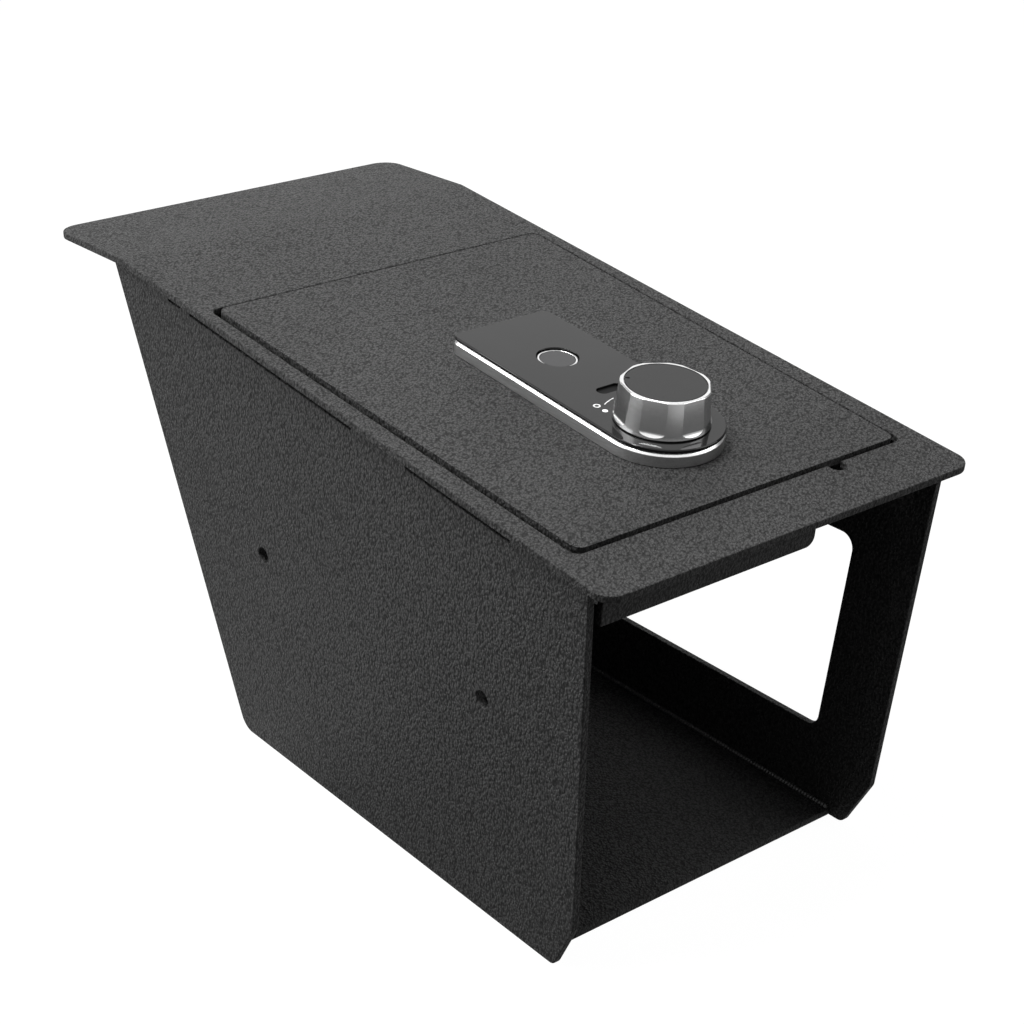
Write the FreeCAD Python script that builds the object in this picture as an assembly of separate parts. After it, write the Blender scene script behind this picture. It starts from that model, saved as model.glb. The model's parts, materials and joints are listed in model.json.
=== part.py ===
"""Security insert for a vehicle centre console: a welded steel box under an overhanging face plate,
with a hinged lid that carries a fingerprint and knob lock.

Frames. Pieces on the sloping face are drawn in the plate frame: x to the right, v along the face from
its front edge towards the rear, h square to the face and 0 on its top surface. place() turns that frame
into the object's own: +X right, +Y to the rear, +Z up, the floor level at Z = 0, the origin at the centre
of the footprint.
"""
import FreeCAD
import Part
import math
import os

Vec = FreeCAD.Vector
X_AXIS = Vec(1, 0, 0)
V_AXIS = Vec(0, 1, 0)
H_AXIS = Vec(0, 0, 1)

# ---- overall sizes (mm and degrees) --------------------------------------------------------------
plate_width = 180.0
plate_length = 314.0          # front edge to the kink
flap_length = 59.0
flap_angle = 7.5              # the flap drops this much from the face
plate_slope = 6.0             # the face rises this much towards the rear
front_height = 171.5          # top of the face's front edge above the floor
sheet = 3.0                   # steel thickness
front_corner_radius = 8.0
rear_corner_radius = 10.0

# ---- side walls ----------------------------------------------------------------------------------
wall_inset = 2.0              # wall's outer face in from the plate's edge
wall_lean = 3.09              # walls lean in towards the floor
wall_front_v = 11.2           # front edge, measured along the face
wall_front_bottom_y = 26.9    # where the front edge would meet the floor
wall_rear_inset = 61.1        # rear edge's foot, in front of the kink
wall_rear_run = 70.0          # how far the rear edge runs back over wall_rear_rise
wall_rear_rise = 202.6
chamfer_height = 23.0
chamfer_end_y = 37.0
wall_corner_radius = 8.0
slit_height = 0.6             # gap under the plate between the weld tabs
slits = ((53.0, 113.0), (148.0, 262.0), (270.0, 279.0))
bolt_hole_radius = 3.5
bolt_hole_z = 99.0
bolt_hole_ys = (73.5, 221.5)

window_band = 33.0            # metal left in front of the window
window_rear_band = 45.0
window_sill = 35.8
window_top = 124.5
window_radius = 6.0

# ---- floor, rear wall, stiffener, welds ----------------------------------------------------------
floor_front_y = 44.2
floor_rear_inset = 3.9        # floor's rear edge, in front of the rear edge's foot
rear_wall_inset = 1.0
weld_leg = 3.0
stiffener_inset = 10.0        # left end in from the plate's edge
stiffener_right_x = 21.3
stiffener_v = 12.0
stiffener_depth = 17.2
stiffener_radius = 4.0

# ---- lid and its opening -------------------------------------------------------------------------
lid_front_v = 28.9
lid_rear_inset = 63.7         # rear edge in front of the kink
lid_front_inset = 11.95       # side edges in from the plate's edges
lid_side_inset = 7.85
lid_proud = 0.8
lid_gap = 2.2                 # at the sides and the rear
lid_front_gap = 1.5
lid_corner_radius = 4.0
notch_x = 43.5
notch_radius = 3.5
notch_depth = 5.2

# ---- lid hinge -----------------------------------------------------------------------------------
hinge_inset = 24.3            # hinge in front of the lid's rear edge
hinge_pin_radius = 2.0
hinge_clearance = 0.05
knuckle_radius = 3.5
leaf_thickness = 1.5
leaf_length = 22.0
leaf_inner_x = 30.0
leaf_side_gap = 6.15          # leaf's end to the lid's side edge
bracket_side_gap = 0.3        # lid edge to bracket
bracket_front = 14.0
bracket_rear = 6.0
bracket_depth = 18.5
stop_radius = 2.0
stop_angle = 100.0            # lid opening at which it meets the stop pegs
stop_reach = 15.0
stop_gap = 0.3
stop_length = 5.7             # how far a peg stands out from its bracket
stop_root = 0.5               # and how far it is let into it
pin_end_gap = 0.5

# ---- lid rests -----------------------------------------------------------------------------------
rest_x = 62.0
rest_width = 16.0
rest_front_v = 17.0
rest_rear_v = 40.0
rest_thickness = 2.5
pad_radius = 4.5
pad_gap = 0.3

# ---- lock panel ----------------------------------------------------------------------------------
panel_width = 48.0
panel_rear_v = 172.0
knob_v = 75.0
panel_corner_radius = 4.0
panel_corner_least = 0.8      # smallest corner radius left when the panel's plan is shrunk
bezel_height = 5.7
bezel_wall = 2.2
bezel_bevel = 1.05
face_height = 7.4             # top of the glossy face above the lid
face_thickness = 1.2          # it overhangs the bezel's bevel, with a groove between them
face_inset = 0.05
face_rim = 0.35
sensor_v = 135.3
sensor_hole_radius = 8.4
sensor_groove = 0.5           # dark gap left around the ring
sensor_ring_width = 0.8
sensor_recess = 1.1           # ring and pad below the face
pad_recess = 1.2
sensor_seat = 1.5             # pocket in the base that they stand in
fit_gap = 0.1
lens_v = 104.2
lens_length = 12.0
lens_width = 5.0
lens_recess = 0.8

# ---- knob, cap, spindle, key ---------------------------------------------------------------------
knob_height = 14.9
knob_base_radius = 18.0
knob_float = 0.3              # knob above the face
knob_flats = 12
knob_flat_foot = 3.4          # height where a flat starts to run out
knob_low_apothem = 17.35      # axis to a flat, at its foot and at the top
knob_top_apothem = 16.4
knob_runout_radius = 3.0
knob_runout_turn = 46.0
knob_chamfer = 0.6
knob_bottom_round = 0.4
cap_radius = 15.5
cap_thickness = 2.2
cap_sink = 0.2
cap_notch_radius = 0.7
cap_notch_angle = 135.0
key_body_radius = 6.0
key_plug_radius = 3.5
key_seat = 4.0                # knob metal under the key cylinder
key_floor = 1.0               # bottom of the key cylinder under its plug
keyway_width = 1.2
keyway_length = 5.0
keyway_depth = 6.0
spindle_radius = 4.0
spindle_clearance = 0.05
bush_wall = 2.0

# ---- bolt work -----------------------------------------------------------------------------------
cam_margin = 4.0              # cam's rim outside the crank pin's circle
cam_thickness = 2.0
cam_lid_gap = 0.7
crank_radius = 9.0
crank_pin_radius = 2.5
slot_clearance = 0.45
bolt_thickness = 4.1
bolt_gap = 0.4                # cam to bolt
bolt_tip_v = 31.0             # drawn back
nose_half = 10.0
nose_radius = 2.0
nose_rear_v = 64.0
tail_half = 17.0
tail_rear_v = 96.0
plunger_v = 70.0
detent_width = 6.0
detent_depth = 4.0
guide_vs = ((40.0, 8.0), (76.0, 5.0))
guide_wall = 2.0
guide_gap = 0.2
crank_angle = 45.0            # crank pin swings from +45 to -45 degrees about the knob's side
bolt_travel = 2 * crank_radius * math.sin(math.radians(crank_angle))

# ---- solenoid ------------------------------------------------------------------------------------
solenoid_length = 11.0
solenoid_width = 12.0
solenoid_outer_x = -36.0
plunger_radius = 2.0
plunger_clearance = 0.08
plunger_tip_gap = 0.5
plunger_inside = 7.0
plunger_bore_end = 1.0        # bore left behind the plunger
plunger_travel = 3.0
collar_radius = 3.3
collar_thickness = 0.8
collar_gap = 0.3              # pushed-out collar to the bolt, beyond the tip gap
spring_wire = 0.25            # half the wire's thickness
spring_wire_sides = 8
spring_radius = 2.8
spring_turns = 4

# ---- lock cover, circuit board -------------------------------------------------------------------
cover_half = 38.0
cover_front_v = 37.0
cover_rear_v = 142.0
cover_depth = 22.0
cover_wall = 1.5
cover_flange = 7.0
cover_screw_inset = 3.5
screw_radius = 1.5
screw_head_radius = 2.8
screw_head_height = 1.8
board_front_v = 99.0
board_rear_v = 138.0
board_half = 34.0
board_drop = 16.0
board_thickness = 1.6
standoff_radius = 2.5
standoff_inset = 4.0
panel_bolt_vs = (104.0, 132.0)
panel_bolt_radius = 2.0
panel_bolt_head_radius = 3.6
panel_bolt_head = 2.4
panel_bolt_bite = 3.0

# ---- battery tray --------------------------------------------------------------------------------
cell_radius = 7.1
cell_length = 49.0
cell_nub_radius = 2.7
cell_nub_height = 1.2
cell_spacing = 0.8
cell_count = 4
tray_wall = 1.5
tray_front_v = 148.0
door_thickness = 1.5
door_pin_radius = 1.0
door_barrel_radius = 2.0
door_pin_clearance = 0.05
ear_width = 3.0
ear_gap = 0.3

# ---- worked out from the above -------------------------------------------------------------------
slope = math.radians(plate_slope)
kink = math.radians(flap_angle)
lean = math.radians(wall_lean)
half_width = plate_width / 2
wall_rear_bottom_y = plate_length - wall_rear_inset
floor_rear_y = wall_rear_bottom_y - floor_rear_inset
lid_rear_v = plate_length - lid_rear_inset
lid_front_half = half_width - lid_front_inset
lid_rear_half = half_width - lid_side_inset
hinge_v = lid_rear_v - hinge_inset
leaf_outer_x = lid_rear_half - leaf_side_gap
stiffener_left_x = stiffener_inset - half_width
cell_pitch = 2 * cell_radius + cell_spacing
cam_radius = crank_radius + cam_margin
total_length = plate_length * math.cos(slope) + flap_length * math.cos(kink - slope)
wall_outer_half = half_width - wall_inset
lid_under = lid_proud - sheet
hinge_h = lid_under - knuckle_radius
panel_radius = panel_width / 2
panel_bottom = lid_proud
bezel_top = panel_bottom + bezel_height
face_top = panel_bottom + face_height
face_bottom = face_top - face_thickness
sensor_foot = face_bottom - sensor_seat
ring_radius = sensor_hole_radius - sensor_groove
knob_bottom = face_top + knob_float
knob_top = knob_bottom + knob_height
cap_top = knob_top - cap_sink
cap_bottom = cap_top - cap_thickness
key_bottom = knob_bottom + key_seat
cam_top = lid_under - cam_lid_gap
cam_bottom = cam_top - cam_thickness
bolt_top = cam_bottom - bolt_gap
bolt_bottom = bolt_top - bolt_thickness
bolt_middle = (bolt_top + bolt_bottom) / 2
crank_reach = crank_radius * math.cos(math.radians(crank_angle))
cover_bottom = lid_under - cover_depth
board_top = lid_under - board_drop
cell_h = lid_under - tray_wall - cell_radius - fit_gap
tray_bottom = cell_h - cell_radius - fit_gap
tray_half = cell_count * cell_pitch / 2 + tray_wall
tray_rear_v = tray_front_v + 2 * tray_wall + cell_length + cell_nub_height + 2 * fit_gap
door_axis_v = tray_front_v - door_barrel_radius - ear_gap
door_axis_h = tray_bottom - door_barrel_radius + door_thickness / 2


# ---- helpers -------------------------------------------------------------------------------------
def box(x0, x1, v0, v1, h0, h1):
    """A block between two corners."""
    return Part.makeBox(x1 - x0, v1 - v0, h1 - h0, Vec(x0, v0, h0))


def post(x, v, h0, h1, radius):
    """An upright cylinder."""
    return Part.makeCylinder(radius, h1 - h0, Vec(x, v, h0))


def rod(x0, x1, v, h, radius):
    """A cylinder along x."""
    return Part.makeCylinder(radius, x1 - x0, Vec(x0, v, h), Vec(1, 0, 0))


def prism(points, direction):
    """A flat polygon pushed along a vector."""
    wire = Part.makePolygon(points + [points[0]])
    return Part.Face(wire).extrude(direction)


def side_prism(outline, x0, x1):
    """A (v, h) outline pushed along x."""
    return prism([Vec(x0, v, h) for v, h in outline], Vec(x1 - x0, 0, 0))


def plan_prism(outline, h0, h1):
    """An (x, v) outline pushed along h."""
    return prism([Vec(x, v, h0) for x, v in outline], Vec(0, 0, h1 - h0))


def round_edges(shape, radius, direction, test=lambda p: True):
    """Fillet the straight edges along a direction whose ends both pass the test."""
    chosen = []
    for edge in shape.Edges:
        ends = [p.Point for p in edge.Vertexes]
        if len(ends) == 2 and (ends[1] - ends[0]).cross(direction).Length < 0.01 and all(test(p) for p in ends):
            chosen.append(edge)
    return shape.makeFillet(radius, chosen)


def near(a, b):
    return abs(a - b) < 0.01


def edges_at(shape, level):
    """The edges that lie at a level."""
    return [e for e in shape.Edges if all(near(p.Z, level) for p in e.Vertexes)]


def both_sides(shape):
    """The shape and its mirror image across the middle plane."""
    return [shape, shape.mirror(Vec(0, 0, 0), Vec(1, 0, 0))]


def place(shape):
    """From the plate frame to the object's frame."""
    turned = shape.copy()
    turned.rotate(Vec(0, 0, 0), Vec(1, 0, 0), plate_slope)
    turned.translate(Vec(0, -total_length / 2, front_height))
    return turned


def plate_point(y, z):
    """(v, h) of a point that lies y behind the face's front edge and z above the floor."""
    rise = z - front_height
    return y * math.cos(slope) + rise * math.sin(slope), rise * math.cos(slope) - y * math.sin(slope)


def crossing(a, b, c, d):
    """Where line a-b meets line c-d."""
    ab = (b[0] - a[0], b[1] - a[1])
    cd = (d[0] - c[0], d[1] - c[1])
    share = ((c[0] - a[0]) * cd[1] - (c[1] - a[1]) * cd[0]) / (ab[0] * cd[1] - ab[1] * cd[0])
    return a[0] + ab[0] * share, a[1] + ab[1] * share


def wall_outer_x(h):
    """Distance of a wall's outer face from the middle plane at height h of the plate frame."""
    return wall_outer_half - (-sheet - h) * math.tan(lean)


def wall_inner_x(h):
    return wall_outer_x(h) - sheet / math.cos(lean)


def interior():
    """The space between the two leaning walls, under the face."""
    deep = -1.5 * front_height
    ring = [(-wall_inner_x(deep), deep), (wall_inner_x(deep), deep), (wall_inner_x(-sheet), -sheet),
            (-wall_inner_x(-sheet), -sheet)]
    return prism([Vec(x, 0, h) for x, h in ring], Vec(0, 2 * total_length, 0))


def export(name, solids):
    """Write one node; a group of alike pieces is written as separate solids."""
    shape = solids[0] if len(solids) == 1 else Part.makeCompound(solids)
    shape.exportStep("parts/" + name + ".step")


# ---- outlines shared by several pieces -----------------------------------------------------------
kink_under = (plate_length - sheet * math.tan(kink / 2), -sheet)
flap_under_end = (kink_under[0] + flap_length * math.cos(kink), kink_under[1] - flap_length * math.sin(kink))
rear_foot = plate_point(wall_rear_bottom_y, 0)
rear_head = crossing(rear_foot, plate_point(wall_rear_bottom_y + wall_rear_run, wall_rear_rise),
                     kink_under, flap_under_end)
front_head = (wall_front_v, -sheet)
front_foot = plate_point(wall_front_bottom_y, 0)
chamfer_share = chamfer_height / front_height
chamfer_start = (front_foot[0] + (front_head[0] - front_foot[0]) * chamfer_share,
                 front_foot[1] + (front_head[1] - front_foot[1]) * chamfer_share)
chamfer_end = plate_point(chamfer_end_y, 0)


def lid_half(v):
    """Half the lid's width at v: it widens evenly towards the hinge."""
    share = (v - lid_front_v) / (lid_rear_v - lid_front_v)
    return lid_front_half + (lid_rear_half - lid_front_half) * share


def lid_outline(gap, front_gap):
    """The lid's plan, grown by gap at its sides and rear and by front_gap in front."""
    front = lid_front_v - front_gap
    rear = lid_rear_v + gap
    return [(-lid_half(front) - gap, front), (lid_half(front) + gap, front), (lid_half(rear) + gap, rear),
            (-lid_half(rear) - gap, rear)]


def lid_slab(gap, front_gap, h0, h1, radius):
    return round_edges(plan_prism(lid_outline(gap, front_gap), h0, h1), radius, H_AXIS)


def panel_slab(inset, h0, h1):
    """The lock panel's plan, a half circle in front and a square rear end, shrunk by inset."""
    r = panel_radius - inset
    rear = panel_rear_v - inset
    c = max(panel_corner_radius - inset, panel_corner_least)
    turn = c * (1 - math.sqrt(0.5))
    left = Vec(-r, knob_v, h0)
    right = Vec(r, knob_v, h0)
    edges = [Part.makeLine(left, Vec(-r, rear - c, h0)),
             Part.Arc(Vec(-r, rear - c, h0), Vec(-r + turn, rear - turn, h0),
                      Vec(-r + c, rear, h0)).toShape(),
             Part.makeLine(Vec(-r + c, rear, h0), Vec(r - c, rear, h0)),
             Part.Arc(Vec(r - c, rear, h0), Vec(r - turn, rear - turn, h0), Vec(r, rear - c, h0)).toShape(),
             Part.makeLine(Vec(r, rear - c, h0), right),
             Part.Arc(right, Vec(0, knob_v - r, h0), left).toShape()]
    return Part.Face(Part.Wire(edges)).extrude(Vec(0, 0, h1 - h0))


# ---- welded box ----------------------------------------------------------------------------------
def frame_plate():
    """Face plate with the flap bent down behind it, the lid opening and a finger notch."""
    flap_end = (plate_length + flap_length * math.cos(kink), -flap_length * math.sin(kink))
    flap_end_under = (flap_end[0] - sheet * math.sin(kink), flap_end[1] - sheet * math.cos(kink))
    profile = [(0, 0), (plate_length, 0), flap_end, flap_end_under, kink_under, (0, -sheet)]
    plate = side_prism(profile, -half_width, half_width)
    plate = round_edges(plate, front_corner_radius, H_AXIS, lambda p: near(p.y, 0))
    flap_normal = Vec(0, math.sin(kink), math.cos(kink))
    plate = round_edges(plate, rear_corner_radius, flap_normal,
                        lambda p: p.y > plate_length + flap_length / 2)
    opening = lid_slab(lid_gap, lid_front_gap, -2 * sheet, sheet, lid_corner_radius)
    edge_v = lid_front_v - lid_front_gap
    notch_v = edge_v - notch_depth + notch_radius
    notch = post(notch_x, notch_v, -2 * sheet, sheet, notch_radius)
    notch = notch.fuse(box(notch_x - notch_radius, notch_x + notch_radius, notch_v, edge_v + 1,
                           -2 * sheet, sheet))
    return place(plate.cut(opening).cut(notch))


def wall_outline():
    """Side wall's outline with low slits between the weld tabs along the top."""
    top = [front_head]
    for start, end in slits:
        top += [(start, -sheet), (start, -sheet - slit_height), (end, -sheet - slit_height), (end, -sheet)]
    return top + [kink_under, rear_head, rear_foot, chamfer_end, chamfer_start]


def leaning_wall():
    """The left wall as a leaning sheet, cut from its outline along x."""
    points = [Vec(-wall_outer_x(h), v, h) for v, h in wall_outline()]
    wall = prism(points, Vec(sheet / math.cos(lean), 0, 0))

    def at(p, spot):
        return near(p.y, spot[0]) and near(p.z, spot[1])

    wall = round_edges(wall, wall_corner_radius, X_AXIS, lambda p: at(p, rear_foot))
    return round_edges(wall, wall_corner_radius / 2, X_AXIS, lambda p: at(p, chamfer_end) or at(p,
                                                                                                chamfer_start))


def left_wall():
    """Left wall with two holes for the bolts that hold the box to the console."""
    wall = place(leaning_wall())
    for y in bolt_hole_ys:
        hole_h = plate_point(y, bolt_hole_z)[1]
        centre = Vec(-wall_outer_x(hole_h), y - total_length / 2, bolt_hole_z)
        outward = Vec(-math.cos(lean), 0, -math.sin(lean))
        outward = FreeCAD.Rotation(Vec(1, 0, 0), plate_slope).multVec(outward)
        wall = wall.cut(Part.makeCylinder(bolt_hole_radius, 6 * sheet, centre + outward * 3 * sheet,
                                          outward * -1))
    return wall


def right_wall():
    """Right wall with its large window, whose sides follow the wall's own edges."""
    wall = place(leaning_wall().mirror(Vec(0, 0, 0), Vec(1, 0, 0)))
    front_run = (wall_front_bottom_y - wall_front_v * math.cos(slope)) / front_height
    rear_run = wall_rear_run / wall_rear_rise
    corners = []
    for z in (window_sill, window_top):
        corners.append((wall_front_bottom_y - front_run * z + window_band, z))
    for z in (window_top, window_sill):
        corners.append((wall_rear_bottom_y + rear_run * z - window_rear_band, z))
    window = prism([Vec(0, y - total_length / 2, z) for y, z in corners], Vec(plate_width, 0, 0))
    return wall.cut(round_edges(window, window_radius, X_AXIS))


def floor_plate():
    slab = box(-half_width, half_width, floor_front_y, floor_rear_y, 0, sheet)
    slab.translate(Vec(0, -total_length / 2, 0))
    return slab.common(place(interior()))


def rear_wall():
    """Sloping rear wall between the side walls, standing on the floor and reaching the flap."""
    run = wall_rear_run / wall_rear_rise
    across = math.hypot(1, run)
    outer_foot = wall_rear_bottom_y - rear_wall_inset * across
    inner_foot = outer_foot - sheet * across
    top = wall_rear_rise
    outline = [plate_point(outer_foot + run * sheet, sheet), plate_point(outer_foot + run * top, top),
               plate_point(inner_foot + run * top, top), plate_point(inner_foot + run * sheet, sheet)]
    outer = crossing(outline[0], outline[1], kink_under, flap_under_end)
    inner = crossing(outline[3], outline[2], kink_under, flap_under_end)
    slab = side_prism([outline[0], outer, inner, outline[3]], -half_width, half_width)
    return place(slab.common(interior()))


def floor_welds():
    """Fillet beads where the floor meets the side walls."""
    def inner_x(y, z):
        return wall_inner_x(plate_point(y, z)[1])

    front_x = inner_x(floor_front_y, sheet)
    middle = total_length / 2
    rear_y = floor_rear_y - weld_leg
    run = Vec(inner_x(rear_y, sheet) - front_x, rear_y - floor_front_y, 0)
    corner = Vec(front_x, floor_front_y - middle, sheet)
    points = [corner, corner - Vec(weld_leg, 0, 0),
              Vec(inner_x(floor_front_y, sheet + weld_leg), corner.y, sheet + weld_leg)]
    return both_sides(prism(points, run))


def front_stiffener():
    """Bar under the front rim, welded to the plate, stopping short of the right wall."""
    bottom = -sheet - stiffener_depth
    bar = box(stiffener_left_x, stiffener_right_x, stiffener_v, stiffener_v + sheet, bottom, -sheet)
    return place(round_edges(bar, stiffener_radius, V_AXIS,
                             lambda p: near(p.x, stiffener_right_x) and near(p.z, bottom)))


def lid_rests():
    """Two tabs under the front rim that the closed lid comes down on."""
    tab = box(rest_x - rest_width / 2, rest_x + rest_width / 2, rest_front_v, rest_rear_v,
              -sheet - rest_thickness, -sheet)
    return [place(s) for s in both_sides(tab)]


def rest_pads():
    """Rubber pads on the tabs, just under the closed lid."""
    pad = post(rest_x, (lid_front_v + rest_rear_v) / 2, -sheet, lid_under - pad_gap, pad_radius)
    return [place(s) for s in both_sides(pad)]


# ---- lid hinge -----------------------------------------------------------------------------------
def hinge_brackets():
    """Ear on each wall that holds the pin, with a peg that stops the open lid."""
    ear_x = lid_rear_half + bracket_side_gap
    ear = box(ear_x, half_width, hinge_v - bracket_front, hinge_v + bracket_rear, hinge_h - bracket_depth,
              -sheet)
    ear = ear.common(interior())
    ear = ear.cut(rod(ear_x - 1, half_width, hinge_v, hinge_h, hinge_pin_radius))
    opened = math.radians(stop_angle)
    rise = lid_under - hinge_h - stop_gap - stop_radius
    peg_v = hinge_v + stop_reach * math.cos(opened) + rise * math.sin(opened)
    peg_h = hinge_h - stop_reach * math.sin(opened) + rise * math.cos(opened)
    ear = ear.fuse(rod(ear_x - stop_length, ear_x + stop_root, peg_v, peg_h, stop_radius))
    return [place(s) for s in both_sides(ear.removeSplitter())]


def hinge_pin():
    end = wall_inner_x(hinge_h) - pin_end_gap
    return place(rod(-end, end, hinge_v, hinge_h, hinge_pin_radius))


def hinge_leaves():
    """Leaf welded under the lid with a knuckle around the pin, one on each side."""
    leaf = box(leaf_inner_x, leaf_outer_x, hinge_v - leaf_length, hinge_v, lid_under - leaf_thickness,
               lid_under)
    leaf = leaf.fuse(rod(leaf_inner_x, leaf_outer_x, hinge_v, hinge_h, knuckle_radius))
    bore = rod(leaf_inner_x - 1, leaf_outer_x + 1, hinge_v, hinge_h, hinge_pin_radius + hinge_clearance)
    return [place(s) for s in both_sides(leaf.cut(bore))]


# ---- lid and lock panel --------------------------------------------------------------------------
def lid_plate():
    lid = lid_slab(0, 0, lid_under, lid_proud, lid_corner_radius)
    lid = lid.cut(post(0, knob_v, lid_under - 1, lid_proud + 1, spindle_radius + bush_wall))
    for v in panel_bolt_vs:
        lid = lid.cut(post(0, v, lid_under - 1, lid_proud + 1, panel_bolt_radius + fit_gap))
    for x, v in cover_screw_spots():
        lid = lid.cut(post(x, v, lid_under - 1, lid_under + sheet / 2, screw_radius))
    return place(lid)


def lock_bezel():
    """Bright rim under the edge of the lock face, with a bevelled top."""
    outer = panel_slab(0, panel_bottom, bezel_top)
    outer = outer.makeChamfer(bezel_bevel, edges_at(outer, bezel_top))
    return place(outer.cut(panel_slab(bezel_wall, panel_bottom - 1, bezel_top + 1)))


def lens_slot(grow, h0, h1):
    """Round-ended slot across the panel."""
    r = lens_width / 2 + grow
    reach = lens_length / 2 - lens_width / 2
    slot = box(-reach, reach, lens_v - r, lens_v + r, h0, h1)
    return slot.fuse(post(-reach, lens_v, h0, h1, r)).fuse(post(reach, lens_v, h0, h1, r)).removeSplitter()


def lock_base():
    """Moulded body of the lock inside the rim, with a pocket for the sensor."""
    base = panel_slab(bezel_wall + fit_gap, panel_bottom, face_bottom)
    base = base.cut(post(0, knob_v, panel_bottom - 1, face_bottom + 1, spindle_radius + 2 * fit_gap))
    base = base.cut(post(0, sensor_v, sensor_foot, face_bottom + 1, sensor_hole_radius))
    for v in panel_bolt_vs:
        base = base.cut(post(0, v, panel_bottom - 1, panel_bottom + panel_bolt_bite, panel_bolt_radius))
    return place(base)


def lock_face():
    """Glossy face with openings for the sensor, the status lens and the spindle."""
    face = panel_slab(face_inset, face_bottom, face_top)
    face = face.makeChamfer(face_rim, edges_at(face, face_top))
    face = face.cut(post(0, knob_v, face_bottom - 1, face_top + 1, spindle_radius + 2 * fit_gap))
    face = face.cut(post(0, sensor_v, face_bottom - 1, face_top + 1, sensor_hole_radius))
    return place(face.cut(lens_slot(fit_gap, face_bottom - 1, face_top + 1)))


def sensor_ring():
    outer = post(0, sensor_v, sensor_foot, face_top - sensor_recess, ring_radius)
    return place(outer.cut(post(0, sensor_v, sensor_foot - 1, face_top, ring_radius - sensor_ring_width)))


def sensor_pad():
    radius = ring_radius - sensor_ring_width - fit_gap
    return place(post(0, sensor_v, sensor_foot, face_top - pad_recess, radius))


def status_lens():
    return place(lens_slot(0, face_bottom, face_top - lens_recess))


def panel_bolts():
    """Bolts from under the lid into the lock base."""
    bolts = []
    for v in panel_bolt_vs:
        shank = post(0, v, lid_under, panel_bottom + panel_bolt_bite, panel_bolt_radius)
        head = post(0, v, lid_under - panel_bolt_head, lid_under, panel_bolt_head_radius)
        bolts.append(place(shank.fuse(head).removeSplitter()))
    return bolts


# ---- knob group ----------------------------------------------------------------------------------
def flat_cutter():
    """What is milled off for the flat at the rear: a leaning face, a chamfer and a curved run-out."""
    foot = knob_bottom + knob_flat_foot
    outside = knob_base_radius + 1
    turn = math.radians(knob_runout_turn)

    def at(reach, h):
        return Vec(0, knob_v + reach, h)

    def on_runout(angle):
        return at(knob_low_apothem + knob_runout_radius * (1 - math.cos(angle)),
                  foot - knob_runout_radius * math.sin(angle))

    end = on_runout(turn)
    chain = [at(knob_top_apothem - knob_chamfer - 1, knob_top + 1),
             at(knob_top_apothem, knob_top - knob_chamfer),
             at(knob_low_apothem, foot)]
    back = [end, at(outside, end.z), at(outside, knob_top + 1), chain[0]]
    edges = [Part.makeLine(chain[0], chain[1]), Part.makeLine(chain[1], chain[2]),
             Part.Arc(chain[2], on_runout(turn / 2), end).toShape()]
    edges += [Part.makeLine(first, second) for first, second in zip(back, back[1:])]
    half = knob_base_radius * math.sin(math.pi / knob_flats) + 1
    cutter = Part.Face(Part.Wire(edges)).extrude(Vec(2 * half, 0, 0))
    cutter.translate(Vec(-half, 0, 0))
    return cutter


def knob():
    """Round knob with milled flats, hollow for the cap, the key cylinder and the spindle."""
    body = post(0, knob_v, knob_bottom, knob_top, knob_base_radius)
    body = body.makeFillet(knob_bottom_round, edges_at(body, knob_bottom))
    for k in range(knob_flats):
        cutter = flat_cutter()
        cutter.rotate(Vec(0, knob_v, 0), H_AXIS, 360 * k / knob_flats)
        body = body.cut(cutter)
    body = body.cut(post(0, knob_v, cap_bottom, knob_top + 1, cap_radius + fit_gap))
    body = body.cut(post(0, knob_v, key_bottom, knob_top, key_body_radius))
    return place(body.cut(post(0, knob_v, knob_bottom - 1, key_bottom + 1, spindle_radius)))


def knob_cap():
    """Pull-off cap with a small notch for a fingernail."""
    cap = post(0, knob_v, cap_bottom, cap_top, cap_radius)
    turn = math.radians(cap_notch_angle)
    return place(cap.cut(post(cap_radius * math.cos(turn), knob_v + cap_radius * math.sin(turn),
                              cap_bottom - 1,
                              cap_top + 1, cap_notch_radius)))


def key_cylinder():
    """Body of the emergency lock inside the knob."""
    body = post(0, knob_v, key_bottom, cap_bottom - fit_gap, key_body_radius)
    return place(body.cut(post(0, knob_v, key_bottom + key_floor, knob_top,
                               key_plug_radius + spindle_clearance)))


def key_plug():
    """Plug with its keyway, free to turn in the cylinder."""
    top = cap_bottom - 2 * fit_gap
    plug = post(0, knob_v, key_bottom + key_floor + fit_gap, top, key_plug_radius)
    keyway = box(-keyway_width / 2, keyway_width / 2, knob_v - keyway_length / 2, knob_v + keyway_length / 2,
                 top - keyway_depth, top + 1)
    return place(plug.cut(keyway))


def knob_spindle():
    return place(post(0, knob_v, cam_bottom, key_bottom, spindle_radius))


def spindle_bush():
    """Bearing for the spindle in the lid."""
    bush = post(0, knob_v, lid_under, lid_proud, spindle_radius + bush_wall)
    return place(bush.cut(post(0, knob_v, lid_under - 1, lid_proud + 1, spindle_radius + spindle_clearance)))


def drive_cam():
    """Disc on the spindle with a pin that reaches down into the bolt's slot."""
    disc = post(0, knob_v, cam_bottom, cam_top, cam_radius)
    disc = disc.cut(post(0, knob_v, cam_bottom - 1, cam_top + 1, spindle_radius))
    pin = post(crank_reach, knob_v + bolt_travel / 2, bolt_bottom, cam_bottom + cam_thickness / 2,
               crank_pin_radius)
    return place(disc.fuse(pin).removeSplitter())


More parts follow.
